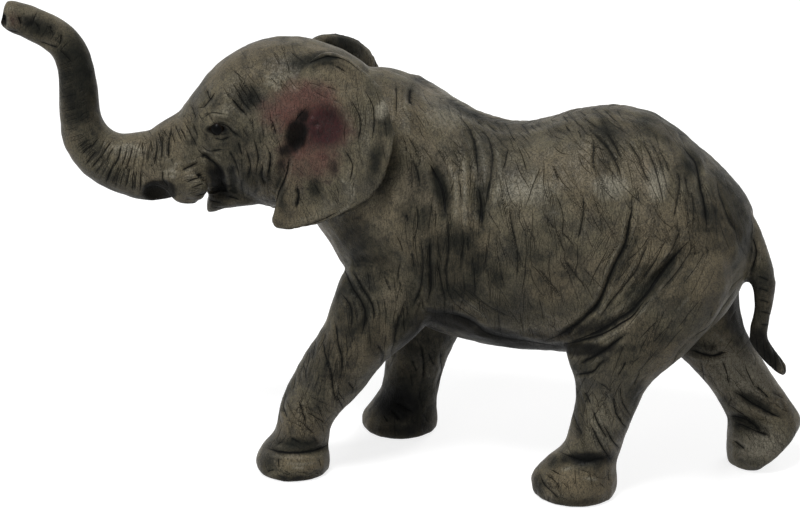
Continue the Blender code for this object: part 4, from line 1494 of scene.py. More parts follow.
    # Dark ovals, mostly painted shade, in the shoulder and hip folds, behind and under the ear,
    # along the back, under the belly and in the armpit and groin; painted highlights on the
    # shoulder, the flank and the hip.
    mounds: tuple[Mound, ...] = (
        Mound((441,192), (16,56), height=-0.5, turn=-6, wash_and_shade=0.95, black_and_deep_shade=0.15),
        Mound((481,200), (14,54), height=-0.4, wash_and_shade=0.9, black_and_deep_shade=0.15),
        Mound((470,142), (32,36), wash_and_shade=0.55),
        Mound((500,155), (22,36), wash_and_shade=0.45),
        Mound((462,200), (12,50), height=0.35, dust_and_highlight=0.1),
        Mound((450,268), (62,66), wash_and_shade=0.8, edge=1.4),
        Mound((426,218), (18,34), wash_and_shade=0.85),
        Mound((496,275), (26,30), wash_and_shade=0.8),
        Mound((512,235), (12,34), wash_and_shade=0.7),
        Mound((500,308), (80,34), wash_and_shade=0.62),
        Mound((515,340), (120,14), black_and_deep_shade=0.62),
        Mound((452,321), (44,15), turn=14, black_and_deep_shade=0.95, edge=1.3),
        Mound((500,338), (64,13), turn=12, black_and_deep_shade=0.95, edge=1.3),
        Mound((570,349), (80,11), black_and_deep_shade=0.85, edge=1.3),
        Mound((424,328), (34,26), turn=-35, black_and_deep_shade=0.62),
        Mound((430,335), (30,24), wash_and_shade=1.0),
        Mound((412,342), (42,14), turn=-43, wash_and_shade=1.0, black_and_deep_shade=0.95),
        Mound((404,322), (18,48), turn=25, wash_and_shade=0.85),
        Mound((352,232), (30,36), black_and_deep_shade=0.7),
        Mound((372,262), (46,60), wash_and_shade=0.78),
        Mound((360,258), (12,34), turn=-28, black_and_deep_shade=0.5),
        Mound((386,190), (14,60), turn=8, wash_and_shade=0.55),
        Mound((414,190), (28,64), turn=4, wash_and_shade=0.72),
        Mound((380,310), (60,40), wash_and_shade=0.5),
        Mound((478,114), (70,13), turn=16, wash_and_shade=0.95),
        Mound((520,126), (40,9), turn=-3, wash_and_shade=0.55),
        Mound((412,90), (18,22), wash_and_shade=0.7),
        Mound((430,78), (34,10), turn=18, wash_and_shade=0.7),
        Mound((445,117), (36,21), height=0.35, turn=8, dust_and_highlight=0.62),
        Mound((434,112), (14,10), dust_and_highlight=0.3),
        Mound((406,118), (8,28), height=0.2, dust_and_highlight=0.28),
        Mound((522,192), (56,24), height=0.2, dust_and_highlight=0.62),
        Mound((548,150), (60,34), dust_and_highlight=0.16),
        Mound((545,262), (76,44), wash_and_shade=0.48, edge=1.3),
        Mound((560,325), (70,14), dust_and_highlight=0.34),
        Mound((600,108), (60,16), wash_and_shade=0.5),
        Mound((666,128), (50,26), turn=24, wash_and_shade=0.72, edge=1.3),
        Mound((606,140), (24,44), wash_and_shade=0.72),
        Mound((580,112), (30,12), wash_and_shade=0.4),
        Mound((611,188), (26,19), height=0.2, dust_and_highlight=1.0),
        Mound((657,184), (16,27), height=0.2, dust_and_highlight=1.0),
        Mound((690,160), (24,30), wash_and_shade=0.85),
        Mound((708,215), (30,60), wash_and_shade=0.72),
        Mound((738,225), (30,60), wash_and_shade=0.62),
        Mound((738,205), (30,78), turn=-24, wash_and_shade=0.8, edge=1.3),
        Mound((700,132), (62,14), turn=36, wash_and_shade=0.66),
        Mound((650,285), (78,22), height=-0.3, turn=-42, wash_and_shade=0.9),
        Mound((622,262), (62,13), height=-0.25, turn=-62, wash_and_shade=0.75),
        Mound((585,330), (58,15), turn=-16, black_and_deep_shade=0.8),
        Mound((700,318), (50,34), turn=-45, wash_and_shade=0.45),
        Mound((548,298), (50,22), wash_and_shade=0.25),
        Mound((640,345), (60,34), turn=-40, wash_and_shade=0.62, edge=1.3),
        Mound((675,285), (40,50), turn=20, wash_and_shade=0.42, edge=1.3),
    )
    scratches: tuple[Scratches, ...] = (
        Scratches((400,85), (475,150), 60, 60, length=(8,22)),
        Scratches((405,140), (500,310), 90, 88, 6, (14,44)),
        Scratches((480,105), (640,150), 80, 42, 10, (9,24)),
        Scratches((470,108), (580,132), 34, 46, 8, (8,18), Stroke.CUT),
        Scratches((485,150), (600,330), 104, 72, 14, (14,44)),
        Scratches((590,120), (690,230), 80, 64, 8, (16,46)),
        Scratches((600,210), (700,340), 76, 118, 8, (16,46)),
        Scratches((670,150), (760,250), 44, 74, 8, (16,46)),
        Scratches((680,250), (770,350), 30, 128, 8, (14,40)),
    )


@dataclass
class FrontLeftLeg(SkinPart):
    """The front leg on the near side, which reaches forward on a broad nailed foot."""

    name: str = "front_left_leg"
    lines: tuple[Line, ...] = (
        *strokes(FURROW, (343,265, 350,285, 360,300, 365,315, 362,332),
                 (266,448, 290,453, 315,451, 332,443)),
        *strokes(CREASE, (323,340, 325,355, 330,370), (335,320, 338,345, 342,360, 341,375),
                 (342,294, 350,307, 352,327), (330,362, 334,394, 342,405), (299,400, 306,425),
                 (282,405, 287,418), (352,272, 362,288, 372,304, 374,322), (336,394, 344,410)),
        *strokes(CUT, (310,350, 305,375), (303,360, 306,380), (295,375, 293,390),
                 (337,390, 345,402),
                 (348,382, 354,390), (318,405, 322,418), (290,438, 300,443), (316,338, 311,362),
                 (326,332, 318,352), (286,392, 282,410), (296,418, 314,434), (306,412, 326,424),
                 (278,458, 279,468), (318,458, 320,466)),
        *strokes(HAIRLINE, (317,330, 307,356, 297,380), (322,332, 314,352, 309,370),
                 (326,337, 330,380),
                 (341,337, 343,360), (346,330, 347,356), (312,336, 300,362), (306,344, 292,372),
                 (302,388, 310,410, 322,430), (286,400, 296,420), (330,350, 324,372),
                 (338,356, 333,378), (344,362, 338,384), (320,372, 314,392),
                 (292,408, 308,418), (300,404, 318,414), (310,396, 330,406), (288,420, 306,430),
                 (284,470, 292,474), (298,471, 310,475), (314,470, 322,472)),
        *strokes(STREAK, (284,462, 300,464, 316,461), (290,467, 306,468)),
        *Torso.shoulder,
    )
    # Painted shade on the leg's sides, in the armpit and at the foot's bottom rim; pale nail paint
    # on the toes.
    mounds: tuple[Mound, ...] = (
        Mound((284,380), (18,66), turn=22, wash_and_shade=0.85),
        Mound((352,308), (34,52), wash_and_shade=0.8, edge=1.4),
        Mound((330,360), (44,62), wash_and_shade=0.62),
        Mound((356,308), (16,36), wash_and_shade=0.65),
        Mound((318,400), (26,30), wash_and_shade=0.38),
        Mound((350,385), (18,24), turn=40, wash_and_shade=0.6),
        Mound((300,445), (48,11), height=-0.3, wash_and_shade=0.85),
        Mound((302,463), (36,13), height=0.3, nail=0.72, edge=1.5),
        Mound((268,466), (12,18), wash_and_shade=0.8),
        Mound((296,479), (44,6), black_and_deep_shade=0.75),
        Mound((375,340), (20,36), wash_and_shade=0.7),
        *Torso.mounds,
    )
    scratches: tuple[Scratches, ...] = (
        Scratches((345,250), (420,360), 56, 84, 8, (12,34)),
        Scratches((285,335), (362,395), 74, 104, 6, (12,34)),
        Scratches((270,395), (345,445), 46, 62, 10, (8,18)),
        Scratches((270,395), (340,445), 24, 118, 8, (8,16)),
        Scratches((262,470), (330,480), 20, 6, 20, (4,9), Stroke.CUT),
    )


@dataclass
class FrontRightLeg(SkinPart):
    """The front leg on the far side, which stands in the shade."""

    name: str = "front_right_leg"
    lines: tuple[Line, ...] = (
        *strokes(CREASE, (395,403, 404,407, 412,412), (390,410, 400,420),
                 (420,345, 424,362, 423,380),
                 (440,350, 442,370, 436,388)),
        *strokes(CUT, (412,360, 417,372), (383,415, 388,422), (428,352, 434,366)),
        *strokes(STREAK, (420,370, 426,373, 430,378)),
        *strokes(SMUDGE, (385,397, 398,400, 410,412)),
    )
    # Painted shade over the far leg and its foot.
    mounds: tuple[Mound, ...] = (
        Mound((425,345), (60,60), wash_and_shade=0.7),
        Mound((412,400), (64,64), wash_and_shade=0.95),
        Mound((398,404), (40,32), height=-0.2, black_and_deep_shade=0.95),
        Mound((405,430), (50,14), black_and_deep_shade=0.75),
    )
    scratches: tuple[Scratches, ...] = (Scratches((385,300), (455,430), 60, 84, 10, (8,26)),)


@dataclass
class HindLeftLeg(SkinPart):
    """The hind leg on the near side, with a stout thigh and a flat round foot."""

    name: str = "hind_left_leg"
    lines: tuple[Line, ...] = (
        *strokes(FURROW, (578,365, 605,350, 625,335), (560,345, 600,335, 630,318, 645,300)),
        *strokes(CREASE, (575,374, 592,372, 602,362), (592,410, 600,428, 608,440),
                 (603,425, 612,440, 622,450),
                 (613,395, 617,415, 628,430), (590,425, 598,440, 612,462),
                 (560,452, 585,462, 612,458),
                 (540,475, 545,485, 560,500), (584,392, 590,404)),
        *strokes(CUT, (572,410, 577,425, 583,437), (620,385, 622,400, 630,415), (640,372, 634,386),
                 (546,474, 556,482, 560,490), (552,470, 560,474), (626,362, 618,376),
                 (600,384, 612,392)),
        *strokes(HAIRLINE, (660,318, 640,338), (672,322, 652,344), (684,326, 664,350),
                 (650,300, 628,326),
                 (700,300, 676,330), (608,470, 609,482), (590,472, 592,486), (575,470, 576,484)),
        *strokes(STREAK, (580,478, 600,480), (560,470, 572,468), (690,296, 676,312)),
        *strokes(SMUDGE, (565,452, 588,462, 610,462)),
        *Torso.hip,
    )
    # Painted shade on the leg's sides, above the toes and at the foot's bottom rim; pale dust on
    # the shin; pale nail paint on the toes.
    mounds: tuple[Mound, ...] = (
        Mound((576,405), (15,52), wash_and_shade=0.85),
        Mound((634,405), (18,50), wash_and_shade=0.7),
        Mound((590,366), (46,16), turn=-16, wash_and_shade=0.75),
        Mound((604,425), (28,44), dust_and_highlight=0.45),
        Mound((590,459), (48,10), height=-0.45, black_and_deep_shade=0.9),
        Mound((552,462), (20,14), wash_and_shade=0.8),
        Mound((568,482), (34,22), height=0.3, nail=0.8),
        Mound((600,484), (26,20), nail=0.65),
        Mound((538,486), (12,22), wash_and_shade=0.85),
        Mound((575,503), (50,7), black_and_deep_shade=0.6),
        *Torso.mounds,
    )
    scratches: tuple[Scratches, ...] = (
        Scratches((575,335), (700,400), 52, 122, 8, (12,34)),
        Scratches((565,390), (650,450), 56, 66, 8, (8,24)),
        Scratches((538,466), (612,500), 44, 60, 40, (4,9)),
        Scratches((536,468), (560,500), 10, 60, 30, (5,10), Stroke.CUT),
        Scratches((620,240), (720,340), 30, 116, 8, (16,40)),
    )


@dataclass
class HindRightLeg(SkinPart):
    """The hind leg on the far side, which pushes off behind."""

    name: str = "hind_right_leg"
    lines: tuple[Line, ...] = (
        *strokes(FURROW, (690,350, 710,356, 727,352), (735,392, 760,408, 782,418),
                 (728,416, 745,420, 762,432)),
        *strokes(CREASE, (735,422, 752,430, 770,436), (733,440, 745,450), (756,386, 770,398)),
        *strokes(CUT, (730,405, 750,420), (700,365, 706,385), (722,360, 730,384),
                 (745,365, 755,388),
                 (772,392, 784,398), (742,412, 748,424)),
        *strokes(STREAK, (776,400, 784,410), (714,332, 724,342)),
    )
    # Painted shade between the legs, in the knee crease and above the foot; the pale warm ovals
    # lighten the leg's paint.
    mounds: tuple[Mound, ...] = (
        Mound((742,318), (28,54), turn=-14, black_and_deep_shade=0.95),
        Mound((700,348), (36,13), turn=8, wash_and_shade=0.7),
        Mound((742,372), (60,54), blush=0.3, dust_and_highlight=0.8),
        Mound((758,446), (46,34), blush=0.3, dust_and_highlight=0.75),
        Mound((746,424), (38,15), height=-0.3, turn=20, wash_and_shade=0.95),
        Mound((786,402), (16,16), nail=0.35),
        Mound((756,402), (40,10), height=-0.25, turn=28, wash_and_shade=1.0),
        Mound((752,462), (30,10), wash_and_shade=0.6),
        Mound((726,400), (12,30), wash_and_shade=0.55),
    )
    scratches: tuple[Scratches, ...] = (
        Scratches((680,330), (800,440), 70, 52, 12, (8,24)),
        Scratches((730,385), (795,460), 40, 40, 30, (4,10)),
        Scratches((640,250), (800,340), 30, 118, 8, (12,34)),
    )


@dataclass
class Tail(SkinPart):
    """The tail, which hangs in a bow to a dark tuft of hair."""

    name: str = "tail"
    lines: tuple[Line, ...] = (
        *strokes(FURROW, (744,278, 748,300, 751,326)),
        *strokes(CREASE, (752,235, 757,252, 752,270), (762,340, 765,356, 764,374),
                 (770,342, 775,358, 776,376),
                 (757,338, 758,350, 755,362), (778,352, 784,366, 786,378)),
        *strokes(CUT, (758,276, 769,281), (758,288, 769,292), (759,300, 770,303),
                 (760,312, 771,314),
                 (760,324, 770,325), (767,348, 771,362, 770,376)),
    )
    # Painted shade in the slot beside the rump; near black on the tuft.
    mounds: tuple[Mound, ...] = (
        Mound((753,300), (11,50), wash_and_shade=1.0),
        Mound((764,352), (26,38), turn=-20, black_and_deep_shade=0.9, edge=1.4),
        Mound((760,300), (24,64), wash_and_shade=0.85),
    )
    swells: tuple[Swell, ...] = (Swell((0.0708, 0.0012, 0.0325), 6.0, 0.5),)


class Nodes:
    """Lays out the nodes of one material."""

    def __init__(self, name: str) -> None:
        """Start a material.

        Args:
            name: The material's name.
        """
        self.material = bpy.data.materials.new(name)
        self.material.use_nodes = True
        self.tree = self.material.node_tree
        self.shader = self.tree.nodes["Principled BSDF"]

    def add(self, kind: str, **settings: object) -> bpy.types.Node:
        """Add a node.

        Args:
            kind: The node's type.
            **settings: Properties of the node.

        Returns:
            The node.
        """
        node = self.tree.nodes.new(kind)
        for name, value in settings.items():
            setattr(node, name, value)
        return node

    def join(self, source: bpy.types.NodeSocket, target: bpy.types.NodeSocket) -> None:
        """Link two sockets."""
        self.tree.links.new(source, target)

    def math(self, operation: str, first: object, second: object = None) -> bpy.types.NodeSocket:
        """Work out one value from others.

        Args:
            operation: What to do with them.
            first: A socket or a number.
            second: Another socket or number, if the operation needs it.

        Returns:
            The socket of the result.
        """
        node = self.add("ShaderNodeMath", operation=operation)
        for slot, value in enumerate((first, second)):
            if isinstance(value, bpy.types.NodeSocket):
                self.join(value, node.inputs[slot])
            elif value is not None:
                node.inputs[slot].default_value = value
        return node.outputs[0]

    def mix(self, share: object, first: object, second: object) -> bpy.types.NodeSocket:
        """Blend two colours.

        Args:
            share: How much of the second shows.
            first: A colour or its socket.
            second: A colour or its socket.

        Returns:
            The socket of the blended colour.
        """
        node = self.add("ShaderNodeMix", data_type="RGBA", clamp_factor=True)
        for slot, value in ((0, share), (6, first), (7, second)):
            if isinstance(value, bpy.types.NodeSocket):
                self.join(value, node.inputs[slot])
            else:
                node.inputs[slot].default_value = value
        return node.outputs[2]

    def ramp(self, value: bpy.types.NodeSocket, stops: dict[float, Colour]) -> bpy.types.NodeSocket:
        """Turn a value into a colour.

        Args:
            value: The value's socket.
            stops: A colour for each of some values.

        Returns:
            The socket of the colour.
        """
        node = self.add("ShaderNodeValToRGB")
        elements = node.color_ramp.elements
        while len(elements) < len(stops):
            elements.new(0.5)
        for element, (place, colour) in zip(elements, stops.items()):
            element.position = place
            element.color = colour
        self.join(value, node.inputs[0])
        return node.outputs[0]

    def noise(self, vector: bpy.types.NodeSocket, scale: float, detail: float,
              rough: float = 0.55) -> bpy.types.NodeSocket:
        """Add a noise texture.

        Args:
            vector: The socket of the place that it reads.
            scale: How fine it is.
            detail: Number of finer layers.
            rough: How strong the finer layers are.

        Returns:
            The socket of its value.
        """
        node = self.add("ShaderNodeTexNoise")
        node.inputs["Scale"].default_value = scale
        node.inputs["Detail"].default_value = detail
        node.inputs["Roughness"].default_value = rough
        self.join(vector, node.inputs["Vector"])
        return node.outputs[0]

    def rise(self, value: bpy.types.NodeSocket, low: float, high: float,
             top: float) -> bpy.types.NodeSocket:
        """Rise from 0 at one value to a top at another, and stay level outside them.

        Args:
            value: The socket of the value.
            low: Value that gives 0.
            high: Value that gives the top.
            top: The result at the high value.

        Returns:
            The socket of the result.
        """
        node = self.add("ShaderNodeMapRange", interpolation_type="SMOOTHSTEP")
        node.inputs["From Min"].default_value = low
        node.inputs["From Max"].default_value = high
        node.inputs["To Max"].default_value = top
        self.join(value, node.inputs["Value"])
        return node.outputs[0]

    def span(self, value: bpy.types.NodeSocket, first: float, last: float) -> bpy.types.NodeSocket:
        """Turn 0 to 1 into one number to another.

        Args:
            value: The socket of the value.
            first: The result at 0.
            last: The result at 1.

        Returns:
            The socket of the result.
        """
        node = self.add("ShaderNodeMapRange")
        node.inputs["To Min"].default_value = first
        node.inputs["To Max"].default_value = last
        self.join(value, node.inputs["Value"])
        return node.outputs[0]

    def split(self, name: str) -> list[bpy.types.NodeSocket]:
        """Read the three values of a colour attribute.

        Args:
            name: The attribute's name.

        Returns:
            The sockets of the values.
        """
        node = self.add("ShaderNodeSeparateXYZ")
        self.join(self.attribute(name).outputs["Vector"], node.inputs[0])
        return list(node.outputs)

    def attribute(self, name: str) -> bpy.types.Node:
        """Add the node that reads an attribute of the piece."""
        return self.add("ShaderNodeAttribute", attribute_name=name)


@dataclass(frozen=True)
class SkinPaint:
    """Hand-painted elephant hide: a brown-grey coat, a dark wash in the folds with painted shade,
    and pale dry dust on top, with painted highlights.
    """

    coat: Colour = (0.108, 0.0945, 0.0605, 1.0)
    warm: Colour = (0.130, 0.106, 0.066, 1.0)
    coat_dark: Colour = (0.050, 0.045, 0.034, 1.0)
    coat_light: Colour = (0.165, 0.138, 0.094, 1.0)
    # Dark wash colour, also for painted shade.
    wash_and_shade: Colour = (0.0100, 0.0112, 0.0100, 1.0)
    ink: Colour = (0.0040, 0.0042, 0.0040, 1.0)
    # Pale dust colour, also for painted highlights.
    dust_and_highlight: Colour = (0.262, 0.242, 0.186, 1.0)
    blush: Colour = (0.096, 0.041, 0.033, 1.0)
    wine: Colour = (0.034, 0.0085, 0.0090, 1.0)
    # Near black, mostly for painted deep shade.
    black_and_deep_shade: Colour = (0.0040, 0.0042, 0.0042, 1.0)
    nail: Colour = (0.175, 0.140, 0.085, 1.0)
    tint_scale: float = 62.0
    cloud_scale: float = 105.0
    grime_scale: float = 170.0
    blotch_scale: float = 400.0
    grain_scale: float = 1500.0
    speck_scale: float = 3600.0
    net_scale: float = 560.0
    coat_stops: tuple[float, ...] = (0.32, 0.50, 0.70)
    warm_patches: Rise = (0.48, 0.60, 0.75)
    dark_patches: Rise = (0.50, 0.68, 0.65)
    light_grains: Rise = (0.50, 0.30, 0.30)
    light_specks: Rise = (0.47, 0.32, 0.30)
    dark_specks: Rise = (0.52, 0.68, 0.60)
    grime_patches: Rise = (0.50, 0.70, 0.40)
    patch_edge: Rise = (0.08, 1.12, 0.92)
    blush_ragged: float = 0.7
    nail_ragged: float = 0.8
    dust_and_highlight_ragged: float = 1.1
    wash_and_shade_ragged: float = 1.0
    black_and_deep_shade_ragged: float = 0.9
    black_and_deep_shade_gain: float = 1.25
    net_leans: Pixel = (14.0, -42.0)
    net_stretch: Place = (2.2, 2.2, 0.7)
    net_edge: Rise = (0.035, 0.0, 1.0)
    net_wash: float = 0.40
    line_bleed: float = 0.34
    line_sharpness: float = 1.6
    line_edge: Rise = (0.0, 1.0, 0.92)
    shine: float = 0.17
    matt: float = 0.03
    roughness_low: float = 0.36
    roughness_high: float = 0.56
    bump_depth: float = 0.10 * MM
    grain_height: float = 0.6
    speck_height: float = 0.4
    net_height: float = 0.5
    line_height: float = 1.6

    def make(self) -> bpy.types.Material:
        """Mix the paint.

        Returns:
            The material.
        """
        nodes = Nodes("painted_skin")
        place = nodes.add("ShaderNodeTexCoord").outputs["Object"]
        wash_and_shade, dust_and_highlight, wine = nodes.split("paint")
        blush, black_and_deep_shade, nail = nodes.split("tone")
        tint = nodes.noise(place, self.tint_scale, 3.0)
        clouds = nodes.noise(place, self.cloud_scale, 4.0)
        grime = nodes.noise(place, self.grime_scale, 3.0)
        blotch = nodes.noise(place, self.blotch_scale, 3.0, 0.6)
        grain = nodes.noise(place, self.grain_scale, 3.0, 0.65)
        speck = nodes.noise(place, self.speck_scale, 2.0, 0.6)
        net = self.net(nodes, place)
        line = self.line(nodes)

        shades = (self.coat_dark, self.coat, self.coat_light)
        coat = nodes.ramp(clouds, dict(zip(self.coat_stops, shades)))
        coat = nodes.mix(nodes.rise(tint, *self.warm_patches), coat, self.warm)
        coat = nodes.mix(nodes.rise(blotch, *self.dark_patches), coat, self.coat_dark)
        coat = nodes.mix(nodes.rise(grain, *self.light_grains), coat, self.coat_light)
        coat = nodes.mix(nodes.rise(speck, *self.light_specks), coat, self.coat_light)
        coat = nodes.mix(self.uneven(nodes, blush, blotch, self.blush_ragged), coat, self.blush)
        coat = nodes.mix(wine, coat, self.wine)
        coat = nodes.mix(self.uneven(nodes, nail, grain, self.nail_ragged), coat, self.nail)
        # Pale dust and painted highlights.
        coat = nodes.mix(self.uneven(nodes, dust_and_highlight, grain, self.dust_and_highlight_ragged), coat, self.dust_and_highlight)
        coat = nodes.mix(nodes.rise(speck, *self.dark_specks), coat, self.wash_and_shade)
        coat = nodes.mix(nodes.math("MULTIPLY", net, self.net_wash), coat, self.wash_and_shade)
        coat = nodes.mix(nodes.rise(grime, *self.grime_patches), coat, self.wash_and_shade)
        # Dark wash with painted shade: in the folds, the hollows, the undersides and the shaded
        # sides.
        halves = [nodes.math("MULTIPLY", noise, 0.5) for noise in (grime, blotch)]
        wash_and_shade_share = self.uneven(nodes, wash_and_shade, nodes.math("ADD", *halves), self.wash_and_shade_ragged)
        coat = nodes.mix(wash_and_shade_share, coat, self.wash_and_shade)
        # Near black paint and painted deep shade.
        full = nodes.math("MULTIPLY", black_and_deep_shade, self.black_and_deep_shade_gain)
        coat = nodes.mix(self.uneven(nodes, full, blotch, self.black_and_deep_shade_ragged), coat, self.black_and_deep_shade)
        coat = nodes.mix(line, coat, self.ink)
        nodes.join(coat, nodes.shader.inputs["Base Color"])

        dark = nodes.math("MAXIMUM", nodes.math("MAXIMUM", wash_and_shade_share, black_and_deep_shade), line)
        shine = nodes.span(dark, self.shine, self.matt)
        nodes.join(shine, nodes.shader.inputs["Specular IOR Level"])
        rough = nodes.span(blotch, self.roughness_low, self.roughness_high)
        nodes.join(rough, nodes.shader.inputs["Roughness"])

        height = nodes.math("MULTIPLY", grain, self.grain_height)
        height = nodes.math("ADD", height, nodes.math("MULTIPLY", speck, self.speck_height))
        height = nodes.math("SUBTRACT", height, nodes.math("MULTIPLY", net, self.net_height))
        height = nodes.math("SUBTRACT", height, nodes.math("MULTIPLY", line, self.line_height))
        bump = nodes.add("ShaderNodeBump")
        bump.inputs["Strength"].default_value = 1.0
        bump.inputs["Distance"].default_value = self.bump_depth
        nodes.join(height, bump.inputs["Height"])
        nodes.join(bump.outputs[0], nodes.shader.inputs["Normal"])
        return nodes.material

    def uneven(self, nodes: Nodes, amount: bpy.types.NodeSocket, noise: bpy.types.NodeSocket,
               spread: float) -> bpy.types.NodeSocket:
        """Break up the edge of a painted patch with noise; spread says how ragged it gets."""
        shift = nodes.math("MULTIPLY", nodes.math("SUBTRACT", noise, 0.5), spread)
        return nodes.rise(nodes.math("ADD", amount, shift), *self.patch_edge)

    def line(self, nodes: Nodes) -> bpy.types.NodeSocket:
        """Draw the dark lines at the bottom of the cuts.

        Args:
            nodes: The material's nodes.

        Returns:
            The socket of the lines' strength.
        """
        line = nodes.split("line")
        away = nodes.math("ABSOLUTE", line[0])
        inside = nodes.math("SUBTRACT", nodes.math("ADD", line[1], self.line_bleed), away)
        edge = nodes.math("MULTIPLY", inside, self.line_sharpness)
        clear = nodes.rise(edge, *self.line_edge)
        return nodes.math("MULTIPLY", clear, line[2])

    def net(self, nodes: Nodes, place: bpy.types.NodeSocket) -> bpy.types.NodeSocket:
        """Draw the finest wrinkles, which cross each other at a slant.

        Args:
            nodes: The material's nodes.
            place: The socket of the place on the skin.

        Returns:
            The socket of the wrinkles' strength.
        """
        fields = []
        for lean in self.net_leans:
            mapping = nodes.add("ShaderNodeMapping")
            mapping.inputs["Rotation"].default_value = (0.0, math.radians(lean), 0.0)
            mapping.inputs["Scale"].default_value = self.net_stretch
            nodes.join(place, mapping.inputs["Vector"])
            cloth = nodes.noise(mapping.outputs[0], self.net_scale, 1.5)
            away = nodes.math("ABSOLUTE", nodes.math("SUBTRACT", cloth, 0.5))
            fields.append(nodes.rise(away, *self.net_edge))
        return nodes.math("MAXIMUM", *fields)


@dataclass(frozen=True)
class EyePaint:
    """Dark eye: a black pupil in a dark brown iris, under a thin gloss."""

    pupil: Colour = (0.001, 0.001, 0.001, 1.0)
    iris: Colour = (0.009, 0.006, 0.004, 1.0)
    rim: Colour = (0.004, 0.004, 0.004, 1.0)
    stops: tuple[float, ...] = (0.30, 0.42, 0.66, 0.74)
    fleck_scale: float = 2600.0
    fleck_share: float = 0.08
    roughness: float = 0.30
    shine: float = 0.05

    def make(self) -> bpy.types.Material:
        """Mix the paint.

        Returns:
            The material.
        """
        nodes = Nodes("eye_paint")
        gaze = nodes.attribute("gaze").outputs["Fac"]
        place = nodes.add("ShaderNodeTexCoord").outputs["Object"]
        fleck = nodes.noise(place, self.fleck_scale, 3.0)
        shift = nodes.math("MULTIPLY", nodes.math("SUBTRACT", fleck, 0.5), self.fleck_share)
        shades = (self.rim, self.iris, self.iris, self.pupil)
        colour = nodes.ramp(nodes.math("ADD", gaze, shift), dict(zip(self.stops, shades)))
        nodes.join(colour, nodes.shader.inputs["Base Color"])
        nodes.shader.inputs["Roughness"].default_value = self.roughness
        nodes.shader.inputs["Specular IOR Level"].default_value = self.shine
        return nodes.material


@dataclass
class Eye:
    """One glossy eye, with a raised cornea over its iris."""

    name: str
    side: int
    share: float = 0.93
    cornea: float = 0.05
    bulge: int = 8
    segments: int = 64
    rings: int = 40
    forward: float = 0.22

    def ball(self) -> tuple[np.ndarray, float]:
        """Measure the centre and the radius of the eye's solid."""
        low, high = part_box(self.name)
        return np.array((low + high) / 2), (high.z - low.z) / 2

    def axes(self) -> tuple[np.ndarray, np.ndarray, np.ndarray]:
        """Find the eye's directions on the turned head.

        Returns:
            The directions to the front, up and out of the eye.
        """
        cos, sin = math.cos(HEAD_TURN), math.sin(HEAD_TURN)
        aside = self.side * math.sqrt(1.0 - self.forward**2)
        out = np.array((-self.forward * cos - aside * sin, -self.forward * sin + aside * cos, 0.0))
        ahead = np.cross(out, (0.0, 0.0, 1.0)) * self.side
        return -ahead, np.array((0.0, 0.0, 1.0)), out

    def build(self) -> bpy.types.Object:
        """Model the eyeball where its solid is.

        Returns:
            The eye's object.
        """
        centre, radius = self.ball()
        shape = bmesh.new()
        layer = shape.verts.layers.float.new("gaze")
        bmesh.ops.create_uvsphere(
            shape, u_segments=self.segments, v_segments=self.rings, radius=radius
        )
        aim = Vector(self.axes()[2]).to_track_quat("Z", "Y").to_matrix()
        for vert in shape.verts:
            ahead = max(vert.co.z / radius, 0.0)
            vert[layer] = ahead
            vert.co *= self.share + self.cornea * ahead**self.bulge
        bmesh.ops.rotate(shape, verts=shape.verts, cent=(0, 0, 0), matrix=aim)
        bmesh.ops.translate(shape, verts=shape.verts, vec=Vector(centre))
        mesh = bpy.data.meshes.new(f"glossy_{self.name}")
        shape.to_mesh(mesh)
        shape.free()
        mesh.polygons.foreach_set("use_smooth", [True] * len(mesh.polygons))
        return placed(mesh.name, mesh)

    def dress(self, eye: bpy.types.Object, paint: bpy.types.Material) -> None:
        """Give the eye its paint and its place on the model.

        Args:
            eye: The eye's object.
            paint: The eye's material.
        """
        eye.data.materials.append(paint)
        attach(eye, "root")
        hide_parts(self.name)
        LOG.info("%s: %d faces", eye.name, len(eye.data.polygons))


@dataclass(frozen=True)
class SoftLamp:
    """One large soft lamp that shines at the calf."""

    name: str
    place: Place
    size: float
    power: float
    shows: bool = True

    def hang(self, target: Vector) -> None:
        """Hang the lamp.

        Args:
            target: The point that it shines at.
        """
        data = bpy.data.lights.new(self.name, "AREA")
        data.shape = "DISK"
        data.size = self.size
        data.energy = self.power
        lamp = placed(self.name, data)
        lamp.visible_glossy = self.shows
        lamp.location = self.place
        lamp.rotation_euler = (Vector(self.place) - target).to_track_quat("Z", "Y").to_euler()


